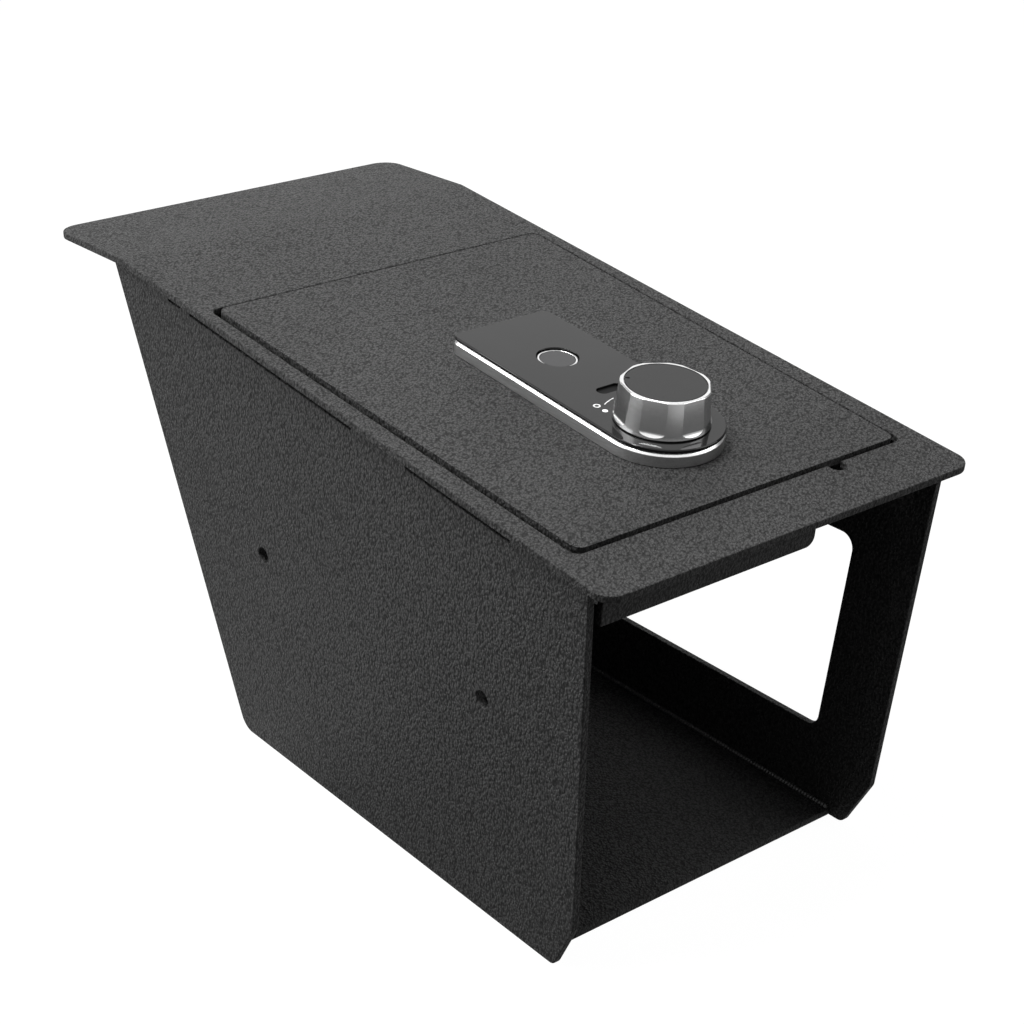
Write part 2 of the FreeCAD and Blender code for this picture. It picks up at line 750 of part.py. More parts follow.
# ---- bolt work -----------------------------------------------------------------------------------
def lock_bolt():
    """Sliding bolt, drawn back: nose, wide tail, cross slot for the crank pin and two detents."""
    nose = box(-nose_half, nose_half, bolt_tip_v, nose_rear_v + 1, bolt_bottom, bolt_top)
    nose = round_edges(nose, nose_radius, H_AXIS, lambda p: near(p.y, bolt_tip_v))
    bolt = nose.fuse(box(-tail_half, tail_half, nose_rear_v, tail_rear_v, bolt_bottom, bolt_top))
    slot_v = knob_v + bolt_travel / 2
    half_slot = crank_pin_radius + slot_clearance
    bolt = bolt.cut(box(crank_reach - half_slot, crank_radius + half_slot, slot_v - half_slot,
                        slot_v + half_slot,
                        bolt_bottom - 1, bolt_top + 1))
    for v in (plunger_v, plunger_v + bolt_travel):
        bolt = bolt.cut(box(-tail_half - 1, -tail_half + detent_depth, v - detent_width / 2,
                            v + detent_width / 2,
                            bolt_bottom - 1, bolt_top + 1))
    return place(bolt.removeSplitter())


def bolt_guides():
    """Two straps under the lid that carry the bolt: one at its nose, one at its tail."""
    straps = []
    for (v, width), half in zip(guide_vs, (nose_half, tail_half)):
        inner = half + guide_gap
        low = bolt_bottom - guide_gap
        strap = box(-inner - guide_wall, inner + guide_wall, v, v + width, low - guide_wall, lid_under)
        strap = strap.cut(box(-inner, inner, v - 1, v + width + 1, low, lid_under + 1))
        straps.append(place(strap))
    return straps


def solenoid_inner_x():
    return solenoid_outer_x + solenoid_length


def solenoid_body():
    """Coil block under the lid beside the bolt, bored for its plunger."""
    low = 2 * bolt_middle - lid_under
    body = box(solenoid_outer_x, solenoid_inner_x(), plunger_v - solenoid_width / 2,
               plunger_v + solenoid_width / 2,
               low, lid_under)
    bore_start = solenoid_inner_x() - plunger_inside - plunger_bore_end
    return place(body.cut(rod(bore_start, solenoid_inner_x() + 1, plunger_v, bolt_middle,
                              plunger_radius + plunger_clearance)))


def collar_x():
    """Rear face of the collar, set so that the pushed-out collar still stays off the bolt's edge."""
    return -tail_half - plunger_tip_gap - collar_gap - plunger_travel - collar_thickness


def solenoid_plunger():
    """Plunger that drops into a detent of the bolt, with a collar for its spring."""
    stem = rod(solenoid_inner_x() - plunger_inside, -tail_half - plunger_tip_gap, plunger_v, bolt_middle,
               plunger_radius)
    collar = rod(collar_x(), collar_x() + collar_thickness, plunger_v, bolt_middle, collar_radius)
    return place(stem.fuse(collar).removeSplitter())


def plunger_spring():
    """Small coil spring around the plunger, between the coil block and the collar."""
    start = solenoid_inner_x() + spring_wire + fit_gap
    length = collar_x() - spring_wire - fit_gap - start
    helix = Part.makeHelix(length / spring_turns, length, spring_radius)
    ring = []
    for k in range(spring_wire_sides + 1):
        turn = 2 * math.pi * k / spring_wire_sides
        ring.append(Vec(spring_radius + spring_wire * math.cos(turn), 0, spring_wire * math.sin(turn)))
    spring = Part.Wire(helix.Edges).makePipeShell([Part.makePolygon(ring)], True, True)
    spring.rotate(Vec(0, 0, 0), Vec(0, 1, 0), 90)
    spring.translate(Vec(start, plunger_v, bolt_middle))
    return place(spring)


# ---- cover and electronics -----------------------------------------------------------------------
def cover_screw_spots():
    """(x, v) of the four cover screws."""
    reach = cover_half + cover_flange - cover_screw_inset
    spots = []
    for v in (cover_front_v + cover_screw_inset, cover_rear_v - cover_screw_inset):
        for side in (-1, 1):
            spots.append((side * reach, v))
    return spots


def lock_cover():
    """Shallow box under the lid with a flange on each side and a slot for the bolt's nose."""
    outer = box(-cover_half, cover_half, cover_front_v, cover_rear_v, cover_bottom, lid_under)
    flange = box(-cover_half - cover_flange, cover_half + cover_flange, cover_front_v, cover_rear_v,
                 lid_under - cover_wall, lid_under)
    inner = box(-cover_half + cover_wall, cover_half - cover_wall, cover_front_v + cover_wall,
                cover_rear_v - cover_wall, cover_bottom + cover_wall, lid_under + 1)
    cover = outer.fuse(flange).cut(inner)
    cover = cover.cut(box(-nose_half - 2 * guide_gap, nose_half + 2 * guide_gap, cover_front_v - 1,
                          cover_front_v + cover_wall + 1, bolt_bottom - 2 * guide_gap, bolt_top + 2 * guide_gap))
    for x, v in cover_screw_spots():
        cover = cover.cut(post(x, v, lid_under - cover_wall - 1, lid_under + 1, screw_radius + fit_gap))
    return place(cover.removeSplitter())


def cover_screws():
    screws = []
    for x, v in cover_screw_spots():
        shank = post(x, v, lid_under - cover_wall, lid_under + sheet / 2, screw_radius)
        head_top = lid_under - cover_wall
        head = post(x, v, head_top - screw_head_height, head_top, screw_head_radius)
        screws.append(place(shank.fuse(head).removeSplitter()))
    return screws


def circuit_board():
    return place(box(-board_half, board_half, board_front_v, board_rear_v, board_top - board_thickness,
                     board_top))


def board_standoffs():
    """Posts that hang the board from the lid."""
    posts = []
    for v in (board_front_v + standoff_inset, board_rear_v - standoff_inset):
        for side in (-1, 1):
            posts.append(place(post(side * (board_half - standoff_inset), v, board_top, lid_under,
                                    standoff_radius)))
    return posts


def cell_xs():
    first = -(cell_count - 1) * cell_pitch / 2
    return [first + k * cell_pitch for k in range(cell_count)]


def battery_tray():
    """Tray under the lid, open downwards, with an ear at each front corner for the door's pin."""
    outer = box(-tray_half, tray_half, tray_front_v, tray_rear_v, tray_bottom, lid_under)
    inner = box(-tray_half + tray_wall, tray_half - tray_wall, tray_front_v + tray_wall,
                tray_rear_v - tray_wall,
                tray_bottom - 1, lid_under - tray_wall)
    tray = outer.cut(inner)
    for x in (-tray_half, tray_half - ear_width):
        ear = box(x, x + ear_width, door_axis_v - door_barrel_radius, tray_front_v, door_axis_h,
                  tray_bottom + 2 * door_barrel_radius)
        tray = tray.fuse(ear.fuse(rod(x, x + ear_width, door_axis_v, door_axis_h, door_barrel_radius)))
    tray = tray.cut(rod(-tray_half - 1, tray_half + 1, door_axis_v, door_axis_h, door_pin_radius))
    return place(tray.removeSplitter())


def battery_cells():
    """Round cells side by side, each with its raised contact."""
    cells = []
    start = tray_front_v + tray_wall + fit_gap
    for k, x in enumerate(cell_xs()):
        can = Part.makeCylinder(cell_radius, cell_length, Vec(x, 0, cell_h), Vec(0, 1, 0))
        nub = Part.makeCylinder(cell_nub_radius, cell_nub_height, Vec(x, cell_length, cell_h), Vec(0, 1, 0))
        cell = can.fuse(nub).removeSplitter()
        if k % 2:
            cell.rotate(Vec(x, (cell_length + cell_nub_height) / 2, cell_h), Vec(0, 0, 1), 180)
        cell.translate(Vec(0, start, 0))
        cells.append(place(cell))
    return cells


def battery_door():
    """Door over the cells that hangs down from the pin at its front edge."""
    top = tray_bottom - ear_gap
    door = box(-tray_half, tray_half, tray_front_v + ear_gap, tray_rear_v, top - door_thickness, top)
    barrel_half = tray_half - ear_width - ear_gap
    bridge = box(-barrel_half, barrel_half, door_axis_v, tray_front_v + 2 * ear_gap, top - door_thickness,
                 top)
    barrel = rod(-barrel_half, barrel_half, door_axis_v, door_axis_h, door_barrel_radius)
    door = door.fuse(bridge).fuse(barrel)
    return place(door.cut(rod(-tray_half, tray_half, door_axis_v, door_axis_h,
                              door_pin_radius + door_pin_clearance)).removeSplitter())


def door_pin():
    return place(rod(-tray_half, tray_half, door_axis_v, door_axis_h, door_pin_radius))


def build():
    os.makedirs("parts", exist_ok=True)
    single = (frame_plate, left_wall, right_wall, floor_plate, rear_wall, front_stiffener, hinge_pin,
              lid_plate,
              lock_bezel, lock_base, lock_face, sensor_ring, sensor_pad, status_lens, knob, knob_cap, key_cylinder,
              key_plug, knob_spindle, spindle_bush, drive_cam, lock_bolt, solenoid_body, solenoid_plunger,
              plunger_spring, lock_cover, circuit_board, battery_tray, battery_door, door_pin)
    grouped = (floor_welds, lid_rests, rest_pads, hinge_brackets, hinge_leaves, panel_bolts, bolt_guides,
               cover_screws, board_standoffs, battery_cells)
    for piece in single:
        export(piece.__name__, [piece()])
    for pieces in grouped:
        export(pieces.__name__, pieces())


build()
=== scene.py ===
"""Finished look of the console insert cash box: coated steel, a chrome-trimmed lock panel, a milled knob."""
import json
import logging
import math
from dataclasses import dataclass, field
from enum import Enum
from typing import Callable, Iterable, Sequence

import bpy
from mathutils import Matrix, Vector


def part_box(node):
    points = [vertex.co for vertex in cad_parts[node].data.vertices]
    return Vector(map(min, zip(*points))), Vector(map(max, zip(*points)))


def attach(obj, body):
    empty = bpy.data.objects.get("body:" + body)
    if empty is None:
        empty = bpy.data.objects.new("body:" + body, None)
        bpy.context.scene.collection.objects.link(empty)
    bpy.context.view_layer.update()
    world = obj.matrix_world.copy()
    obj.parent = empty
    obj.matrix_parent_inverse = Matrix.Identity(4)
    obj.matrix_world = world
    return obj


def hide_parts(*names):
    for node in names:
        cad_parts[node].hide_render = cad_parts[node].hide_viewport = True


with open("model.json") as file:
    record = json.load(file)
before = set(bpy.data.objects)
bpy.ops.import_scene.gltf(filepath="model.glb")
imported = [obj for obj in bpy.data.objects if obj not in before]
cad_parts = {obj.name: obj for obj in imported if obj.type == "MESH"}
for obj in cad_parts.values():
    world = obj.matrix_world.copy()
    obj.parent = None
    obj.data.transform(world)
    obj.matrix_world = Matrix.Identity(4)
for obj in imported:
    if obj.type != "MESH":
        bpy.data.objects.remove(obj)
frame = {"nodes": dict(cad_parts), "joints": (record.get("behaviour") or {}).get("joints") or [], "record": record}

log = logging.getLogger("cash_box")
Triple = tuple[float, float, float]
MM = 0.001
MERGE = 0.000002
FLAT_ANGLE = 0.2
SHADE_ANGLE = 30.0


# ---- axes ----------------------------------------------------------------------------------------
@dataclass(frozen=True)
class PlateAxes:
    """Axes of the sloping face in millimetres: x across, v up it from its front edge, h square to it."""

    origin: Vector
    up_face: Vector
    outward: Vector

    @classmethod
    def from_record(cls, knob_v: float = 75.0, face_h: float = 8.2) -> "PlateAxes":
        """Work the axes out from the knob's joint.

        Args:
            knob_v: distance of the knob's axis from the face's front edge.
            face_h: height of the lock face, where the joint is stated.

        Returns:
            The face's axes in the model's frame.
        """
        joint = next(j for j in frame["joints"] if j["name"] == "knob_turn")
        outward = -Vector(joint["axis"]).normalized()
        up_face = outward.cross(Vector((1, 0, 0))).normalized()
        origin = Vector(joint["pos_m"]) - up_face * knob_v * MM - outward * face_h * MM
        return cls(origin, up_face, outward)

    def matrix(self) -> Matrix:
        """Put the axes into a matrix.

        Returns:
            The matrix from face axes in metres to the model's frame.
        """
        across = Vector((1, 0, 0))
        rows = [[across[i], self.up_face[i], self.outward[i], self.origin[i]] for i in range(3)]
        return Matrix(rows + [[0, 0, 0, 1]])

    def slope(self) -> float:
        """Angle of the face above level, in radians."""
        return math.atan2(self.up_face.z, self.up_face.y)


PLATE = PlateAxes.from_record()


# ---- work with operators -------------------------------------------------------------------------
def clear_choice() -> None:
    """Deselect every object, so that the next operator acts only on what is chosen."""
    bpy.ops.object.select_all(action="DESELECT")


def choose(*objects: bpy.types.Object) -> None:
    """Select these objects and nothing else.

    Args:
        objects: what to select; the first one becomes active.
    """
    clear_choice()
    for item in objects:
        item.select_set(True)
    bpy.context.view_layer.objects.active = objects[0]


def fresh() -> bpy.types.Object:
    """The object that the last primitive operator added."""
    return bpy.context.view_layer.objects.active


def block(centre: Sequence[float], size: Sequence[float]) -> bpy.types.Object:
    """Add a block.

    Args:
        centre: middle of the block, in millimetres.
        size: its three side lengths, in millimetres.

    Returns:
        The new object, with its scale applied.
    """
    clear_choice()
    bpy.ops.mesh.primitive_cube_add(size=1, location=[c * MM for c in centre])
    piece = fresh()
    piece.scale = [s * MM for s in size]
    bpy.ops.object.transform_apply(location=False, rotation=False, scale=True)
    return piece


def barrel(centre: Sequence[float], radius: float, height: float, sides: int = 64, top: float | None = None,
           turn: float = 0.0) -> bpy.types.Object:
    """Add an upright cylinder or cone.

    Args:
        centre: middle of its foot, in millimetres.
        radius: radius at the foot.
        height: height.
        sides: number of sides.
        top: radius at the top where it tapers.
        turn: turn about its own axis, in radians.

    Returns:
        The new object.
    """
    clear_choice()
    place = (centre[0] * MM, centre[1] * MM, (centre[2] + height / 2) * MM)
    bpy.ops.mesh.primitive_cone_add(vertices=sides, radius1=radius * MM, depth=height * MM, location=place,
                                    radius2=(radius if top is None else top) * MM, rotation=(0, 0, turn))
    return fresh()


def edit(piece: bpy.types.Object, kind: str = "EDGE") -> None:
    """Leave nothing selected in a piece's mesh, ready for picking.

    Args:
        piece: the piece.
        kind: what is going to be picked: VERT, EDGE or FACE.
    """
    choose(piece)
    bpy.ops.object.mode_set(mode="EDIT")
    bpy.ops.mesh.select_mode(type=kind)
    bpy.ops.mesh.select_all(action="DESELECT")
    bpy.ops.object.mode_set(mode="OBJECT")


def pick_edges(piece: bpy.types.Object, test: Callable[[Vector, Vector], bool]) -> None:
    """Select edges and leave edit mode open.

    Args:
        piece: the piece.
        test: says from an edge's two ends, in millimetres, whether it is picked.
    """
    edit(piece, "EDGE")
    ends = [piece.matrix_world @ v.co / MM for v in piece.data.vertices]
    for edge in piece.data.edges:
        edge.select = test(ends[edge.vertices[0]], ends[edge.vertices[1]])
    bpy.ops.object.mode_set(mode="EDIT")


def pick_faces(piece: bpy.types.Object, test: Callable[[Vector, Vector], bool]) -> None:
    """Select faces and leave edit mode open.

    Args:
        piece: the piece.
        test: says from a face's centre, in millimetres, and its normal whether it is picked.
    """
    edit(piece, "FACE")
    turn = piece.matrix_world.to_3x3()
    for face in piece.data.polygons:
        face.select = test(piece.matrix_world @ face.center / MM, turn @ face.normal)
    bpy.ops.object.mode_set(mode="EDIT")


def close_edit() -> None:
    """Go back to object mode."""
    bpy.ops.object.mode_set(mode="OBJECT")


def apply_modifier(piece: bpy.types.Object, kind: str, **settings: object) -> None:
    """Add a modifier and apply it.

    Args:
        piece: the piece.
        kind: the modifier's type.
        settings: the modifier's own settings.
    """
    choose(piece)
    modifier = piece.modifiers.new(kind.lower(), kind)
    for key, value in settings.items():
        setattr(modifier, key, value)
    bpy.ops.object.modifier_apply(modifier=modifier.name)


def shade(piece: bpy.types.Object, angle: float = SHADE_ANGLE) -> None:
    """Shade a piece smooth up to an angle in degrees."""
    choose(piece)
    bpy.ops.object.shade_smooth_by_angle(angle=math.radians(angle))


def round_over(piece: bpy.types.Object, width: float, steps: int = 2, angle: float = SHADE_ANGLE) -> None:
    """Round the sharp edges of a piece and shade it.

    Args:
        piece: the piece.
        width: width of the rounding, in millimetres.
        steps: number of facets across it.
        angle: edges sharper than this, in degrees, are rounded.
    """
    shade(piece, angle)
    apply_modifier(piece, "BEVEL", width=width * MM, segments=steps, limit_method="ANGLE",
                   angle_limit=math.radians(angle), harden_normals=True, use_clamp_overlap=True,
                   miter_outer="MITER_ARC")


def weld_together(pieces: Sequence[bpy.types.Object]) -> bpy.types.Object:
    """Join several objects.

    Args:
        pieces: what to join.

    Returns:
        The first of them, which holds them all.
    """
    choose(*pieces)
    bpy.ops.object.join()
    return pieces[0]


def repeat(pattern: bpy.types.Object, places: Iterable[Sequence[float]]) -> bpy.types.Object:
    """Copy a pattern to several places and join the copies.

    Args:
        pattern: piece modelled about the origin, used up by the call.
        places: where the copies go, in millimetres.

    Returns:
        The joined copies.
    """
    set_in_place(pattern, False)
    copies = []
    for place in places:
        choose(pattern)
        bpy.ops.object.duplicate()
        copy = fresh()
        copy.location = [value * MM for value in place]
        bpy.ops.object.transform_apply(location=True, rotation=False, scale=False)
        copies.append(copy)
    bpy.data.objects.remove(pattern)
    return weld_together(copies)


def carve(piece: bpy.types.Object, cutter: bpy.types.Object) -> None:
    """Cut a piece with a cutter and throw the cutter away."""
    apply_modifier(piece, "BOOLEAN", object=cutter, operation="DIFFERENCE", solver="EXACT")
    bpy.data.objects.remove(cutter)


def set_in_place(piece: bpy.types.Object, on_face: bool) -> None:
    """Put a piece's place into its mesh.

    Args:
        piece: the piece.
        on_face: whether it was modelled in the face's axes and is turned onto the face.
    """
    choose(piece)
    bpy.ops.object.transform_apply(location=True, rotation=True, scale=True)
    if on_face:
        piece.matrix_world = PLATE.matrix()
        bpy.ops.object.transform_apply(location=True, rotation=True, scale=True)


# ---- shader nodes --------------------------------------------------------------------------------
class Bench:
    """Adds and wires nodes in one node tree."""

    def __init__(self, tree: bpy.types.NodeTree) -> None:
        """Start on an emptied tree."""
        self.tree = tree
        tree.nodes.clear()

    def add(self, kind: str, inputs: dict[str | int, object] | None = None,
            **settings: object) -> bpy.types.Node:
        """Add a node.

        Args:
            kind: the node's type name.
            inputs: socket values, or sockets to wire from, by input name or number.
            settings: the node's own settings.

        Returns:
            The new node.
        """
        node = self.tree.nodes.new(kind)
        for key, value in settings.items():
            setattr(node, key, value)
        for key, value in (inputs or {}).items():
            if isinstance(value, bpy.types.NodeSocket):
                self.tree.links.new(value, node.inputs[key])
            else:
                node.inputs[key].default_value = value
        return node

    def math(self, operation: str, first: object, second: object = 0.0) -> bpy.types.NodeSocket:
        """A math node's result."""
        return self.add("ShaderNodeMath", {0: first, 1: second}, operation=operation).outputs[0]

    def remap(self, value: object, low: float, high: float, to_low: float,
              to_high: float) -> bpy.types.NodeSocket:
        """Carry a value from one range to another, clamped.

        Args:
            value: the value or its socket.
            low: start of its range.
            high: end of its range.
            to_low: what the start becomes.
            to_high: what the end becomes.

        Returns:
            The new value's socket.
        """
        node = self.add("ShaderNodeMapRange", {"Value": value, "From Min": low, "From Max": high,
                                               "To Min": to_low, "To Max": to_high})
        return node.outputs["Result"]

    def place(self, stretch: Sequence[float] = (1, 1, 1), tilt: float = 0.0) -> bpy.types.NodeSocket:
        """Read object coordinates.

        Args:
            stretch: factors along the three axes.
            tilt: slope to turn back, in radians.

        Returns:
            The coordinates' socket.
        """
        where = self.add("ShaderNodeTexCoord").outputs["Object"]
        node = self.add("ShaderNodeMapping", {"Vector": where, "Rotation": (-tilt, 0, 0),
                                              "Scale": tuple(stretch)}, vector_type="POINT")
        return node.outputs["Vector"]

    def noise(self, where: object, scale: object, detail: float = 2.0, roughness: float = 0.5,
              distortion: float = 0.0) -> bpy.types.NodeSocket:
        """Add a noise texture.

        Args:
            where: coordinates' socket.
            scale: how fine it is.
            detail: number of finer layers.
            roughness: how strong the finer layers are.
            distortion: how much it is twisted.

        Returns:
            The noise's value socket.
        """
        node = self.add("ShaderNodeTexNoise", {"Vector": where, "Scale": scale, "Detail": detail,
                                               "Roughness": roughness, "Distortion": distortion})
        return node.outputs["Fac"]

    def vector(self, operation: str, inputs: dict[str | int, object]) -> bpy.types.NodeSocket:
        """A vector math node's vector."""
        return self.add("ShaderNodeVectorMath", inputs, operation=operation).outputs[0]

    def surface(self, kind: str, shader: bpy.types.NodeSocket) -> None:
        """Wire a shader to a new output node."""
        self.tree.links.new(shader, self.add(kind).inputs["Surface"])

    def send(self, sink: bpy.types.Node, **values: bpy.types.NodeSocket) -> None:
        """Wire values to the sockets of a node that have their names."""
        for label, value in values.items():
            self.tree.links.new(value, sink.inputs[label])

    def between(self, share: object, first: object, second: object) -> bpy.types.NodeSocket:
        """A value that goes from the first to the second as the share goes from 0 to 1."""
        return self.add("ShaderNodeMix", {"Factor": share, "A": first, "B": second}).outputs["Result"]

    def blend(self, share: object, low: Triple, high: Triple) -> bpy.types.NodeSocket:
        """Mix two colours.

        Args:
            share: share of the second one.
            low: the first colour.
            high: the second colour.

        Returns:
            The mixed colour's socket.
        """
        node = self.add("ShaderNodeMix", {"Factor": share, 6: (*low, 1), 7: (*high, 1)}, data_type="RGBA")
        return node.outputs[2]


def new_group(name: str, inputs: Sequence[tuple[str, float]], outputs: Sequence[str]) -> tuple[
        bpy.types.NodeTree, Bench, bpy.types.Node, bpy.types.Node]:
    """Start a shader node group of plain number sockets.

    Args:
        name: the group's name.
        inputs: input names with their usual values.
        outputs: output names.

    Returns:
        The group, its bench, its input node and its output node.
    """
    tree = bpy.data.node_groups.new(name, "ShaderNodeTree")
    bench = Bench(tree)
    for label, usual in inputs:
        socket = tree.interface.new_socket(name=label, in_out="INPUT", socket_type="NodeSocketFloat")
        socket.default_value = usual
    for label in outputs:
        tree.interface.new_socket(name=label, in_out="OUTPUT", socket_type="NodeSocketFloat")
    return tree, bench, bench.add("NodeGroupInput"), bench.add("NodeGroupOutput")


class Relief(Enum):
    """Surface reliefs, each a shared node group with Height and Shade outputs."""

    COAT = "coat_relief"
    MOULD = "mould_relief"
    BRUSH = "brush_relief"
    SMOOTH = "smooth_relief"


@dataclass
class ReliefShop:
    """Builds each shared relief group once, with a Height, a Shade from hollow to crest and a slow Drift."""

    built: dict[Relief, bpy.types.NodeTree] = field(default_factory=dict)
    coat_stretch: Triple = (0.8, 1.25, 1.3)
    coat_lay: float = -37.6
    coat_bend: float = 0.0011
    bend_scale: float = 0.7
    lump_scale: float = 0.62
    fine_scale: float = 3.1
    grain_share: float = 0.42
    lump_share: float = 0.46
    fine_share: float = 0.12
    brush_length: float = 0.04
    mark_scale: float = 0.35

    def get(self, relief: Relief) -> bpy.types.NodeTree:
        """Find the group of a relief, built on first use.

        Args:
            relief: the relief.

        Returns:
            Its group.
        """
        if relief not in self.built:
            tree, bench, source, sink = new_group(relief.value, [("Size", MM)], ["Height", "Shade", "Drift"])
            scale = bench.math("DIVIDE", 1.0, source.outputs["Size"])
            builder = {Relief.COAT: self.coat, Relief.MOULD: self.mould, Relief.BRUSH: self.brush,
                       Relief.SMOOTH: self.smooth}[relief]
            builder(bench, scale, sink)
            self.built[relief] = tree
        return self.built[relief]

    def coat(self, bench: Bench, scale: bpy.types.NodeSocket, sink: bpy.types.Node) -> None:
        """Wrinkled powder coat: rounded grains with creases between them.

        Args:
            bench: the group's bench.
            scale: grains in a metre.
            sink: the group's output node.
        """
        lay = (0, 0, math.radians(self.coat_lay))
        where = bench.add("ShaderNodeMapping", {"Vector": bench.place(), "Scale": self.coat_stretch,
                                                "Rotation": lay}, vector_type="TEXTURE").outputs["Vector"]
        bend = bench.add("ShaderNodeTexNoise", {"Vector": where, "Detail": 1.0,
                                                "Scale": bench.math("MULTIPLY", scale, self.bend_scale)})
        shift = bench.vector("SUBTRACT", {0: bend.outputs["Color"], 1: (0.5, 0.5, 0.5)})
        shift = bench.vector("SCALE", {0: shift, "Scale": self.coat_bend})
        moved = bench.vector("ADD", {0: where, 1: shift})
        cells = bench.add("ShaderNodeTexVoronoi", {"Vector": moved, "Scale": scale, "Smoothness": 0.6},
                          feature="SMOOTH_F1").outputs["Distance"]
        grains = bench.remap(cells, 0.05, 0.75, 1.0, 0.0)
        lumps = bench.noise(moved, bench.math("MULTIPLY", scale, self.lump_scale), 3.0, 0.62)
        fine = bench.noise(where, bench.math("MULTIPLY", scale, self.fine_scale), 1.0, 0.5)
        height = bench.math("ADD", bench.math("MULTIPLY", grains, self.grain_share),
                            bench.math("MULTIPLY", lumps, self.lump_share))
        height = bench.math("ADD", height, bench.math("MULTIPLY", fine, self.fine_share))
        # Shade darkens the creases between the grains: painted shade in the coat's hollows.
        bench.send(sink, Height=height, Shade=bench.remap(height, 0.3, 0.62, 0.0, 1.0),
                   Drift=bench.noise(where, 14.0))

    def mould(self, bench: Bench, scale: bpy.types.NodeSocket, sink: bpy.types.Node) -> None:
        """Spark-eroded grain of a moulded part.

        Args:
            bench: the group's bench.
            scale: grains in a metre.
            sink: the group's output node.
        """
        where = bench.place()
        height = bench.noise(where, scale, 4.0, 0.7)
        # Shade darkens the grain's hollows: painted shade.
        bench.send(sink, Height=height, Shade=bench.remap(height, 0.35, 0.65, 0.0, 1.0),
                   Drift=bench.noise(where, 40.0))

    def brush(self, bench: Bench, scale: bpy.types.NodeSocket, sink: bpy.types.Node) -> None:
        """Fine drawn lines along the face's length.

        Args:
            bench: the group's bench.
            scale: lines in a metre.
            sink: the group's output node.
        """
        where = bench.place((1.0, self.brush_length, 1.0), PLATE.slope())
        height = bench.noise(where, scale, 3.0, 0.6)
        # Shade darkens the low lines: painted shade between the drawn lines.
        bench.send(sink, Height=height, Shade=bench.remap(height, 0.35, 0.65, 0.0, 1.0),
                   Drift=bench.noise(bench.place(), 60.0, 3.0))

    def smooth(self, bench: Bench, scale: bpy.types.NodeSocket, sink: bpy.types.Node) -> None:
        """Polished or glossy surface with the faintest waviness and handling marks.

        Args:
            bench: the group's bench.
            scale: waves in a metre.
            sink: the group's output node.
        """
        where = bench.place()
        marks = bench.noise(where, bench.math("MULTIPLY", scale, self.mark_scale), 5.0, 0.65, 0.4)
        bench.send(sink, Height=bench.noise(where, scale, 1.0, 0.4),
                   Shade=bench.remap(marks, 0.42, 0.72, 0.0, 1.0), Drift=bench.noise(where, 30.0))


RELIEFS = ReliefShop()


# ---- finishes ------------------------------------------------------------------------------------
def grey(level: float) -> Triple:
    """A neutral colour."""
    return (level, level, level)


@dataclass(frozen=True)
class Finish:
    """One surface finish.

    Fields give its colour in its hollows and on its crests, its roughness there, and the relief under it.
    """

    name: str
    slot: str
    low: Triple
    high: Triple
    rough_low: float
    rough_high: float
    relief: Relief = Relief.SMOOTH
    grain: float = 0.004
    depth: float = 0.0
    metallic: float = 0.0
    ior: float = 1.5
    drift: float = 0.1

    def paint(self, bench: Bench, relief: bpy.types.Node) -> bpy.types.NodeSocket:
        """The base colour: hollow to crest colour, drifting a little over the surface.

        Args:
            bench: the material's bench.
            relief: the placed relief group.

        Returns:
            The colour socket.
        """
        mix = bench.blend(relief.outputs["Shade"], self.low, self.high)
        tone = bench.remap(relief.outputs["Drift"], 0.3, 0.7, 1 - self.drift, 1 + self.drift)
        return bench.vector("SCALE", {0: mix, "Scale": tone})

    def material(self) -> bpy.types.Material:
        """Make the finish's material on first use.

        Returns:
            The material.
        """
        found = bpy.data.materials.get(self.name)
        if found:
            return found
        made = bpy.data.materials.new(self.name)
        made.use_nodes = True
        made.diffuse_color = (*self.high, 1)
        bench = Bench(made.node_tree)
        relief = bench.add("ShaderNodeGroup", node_tree=RELIEFS.get(self.relief))
        relief.inputs["Size"].default_value = self.grain
        rough = bench.remap(relief.outputs["Shade"], 0.0, 1.0, self.rough_low, self.rough_high)
        shader = bench.add("ShaderNodeBsdfPrincipled", {"Base Color": self.paint(bench, relief),
                                                        "Roughness": rough, "Metallic": self.metallic,
                                                        "IOR": self.ior})
        if self.depth:
            bump = bench.add("ShaderNodeBump", {"Strength": 1.0, "Distance": self.depth,
                                                "Height": relief.outputs["Height"]})
            made.node_tree.links.new(bump.outputs["Normal"], shader.inputs["Normal"])
        bench.surface("ShaderNodeOutputMaterial", shader.outputs[0])
        return made


Rounding = tuple[str, Finish, float]


@dataclass(frozen=True)
class BoardFinish(Finish):
    """Solder mask with paler tracks and pads under it."""

    def paint(self, bench: Bench, relief: bpy.types.Node) -> bpy.types.NodeSocket:
        """Mask colour with a grid of tracks showing through.

        Args:
            bench: the material's bench.
            relief: the placed relief group.

        Returns:
            The colour socket.
        """
        where = bench.place((1, 1, 1), PLATE.slope())
        cells = bench.add("ShaderNodeTexVoronoi", {"Vector": where, "Scale": 420.0, "Randomness": 0.25},
                          feature="F1", distance="MANHATTAN")
        tracks = bench.remap(cells.outputs["Distance"], 0.38, 0.46, 0.0, 1.0)
        return bench.blend(tracks, self.low, self.high)


@dataclass(frozen=True)
class CoilFinish(Finish):
    """Taped winding: fine turns of wire seen through amber tape."""

    def paint(self, bench: Bench, relief: bpy.types.Node) -> bpy.types.NodeSocket:
        """Amber with a darker line between the turns.

        Args:
            bench: the material's bench.
            relief: the placed relief group.

        Returns:
            The colour socket.
        """
        wave = bench.add("ShaderNodeTexWave", {"Vector": bench.place(), "Scale": 700.0, "Distortion": 0.4},
                         bands_direction="X")
        return bench.blend(wave.outputs["Fac"], self.low, self.high)
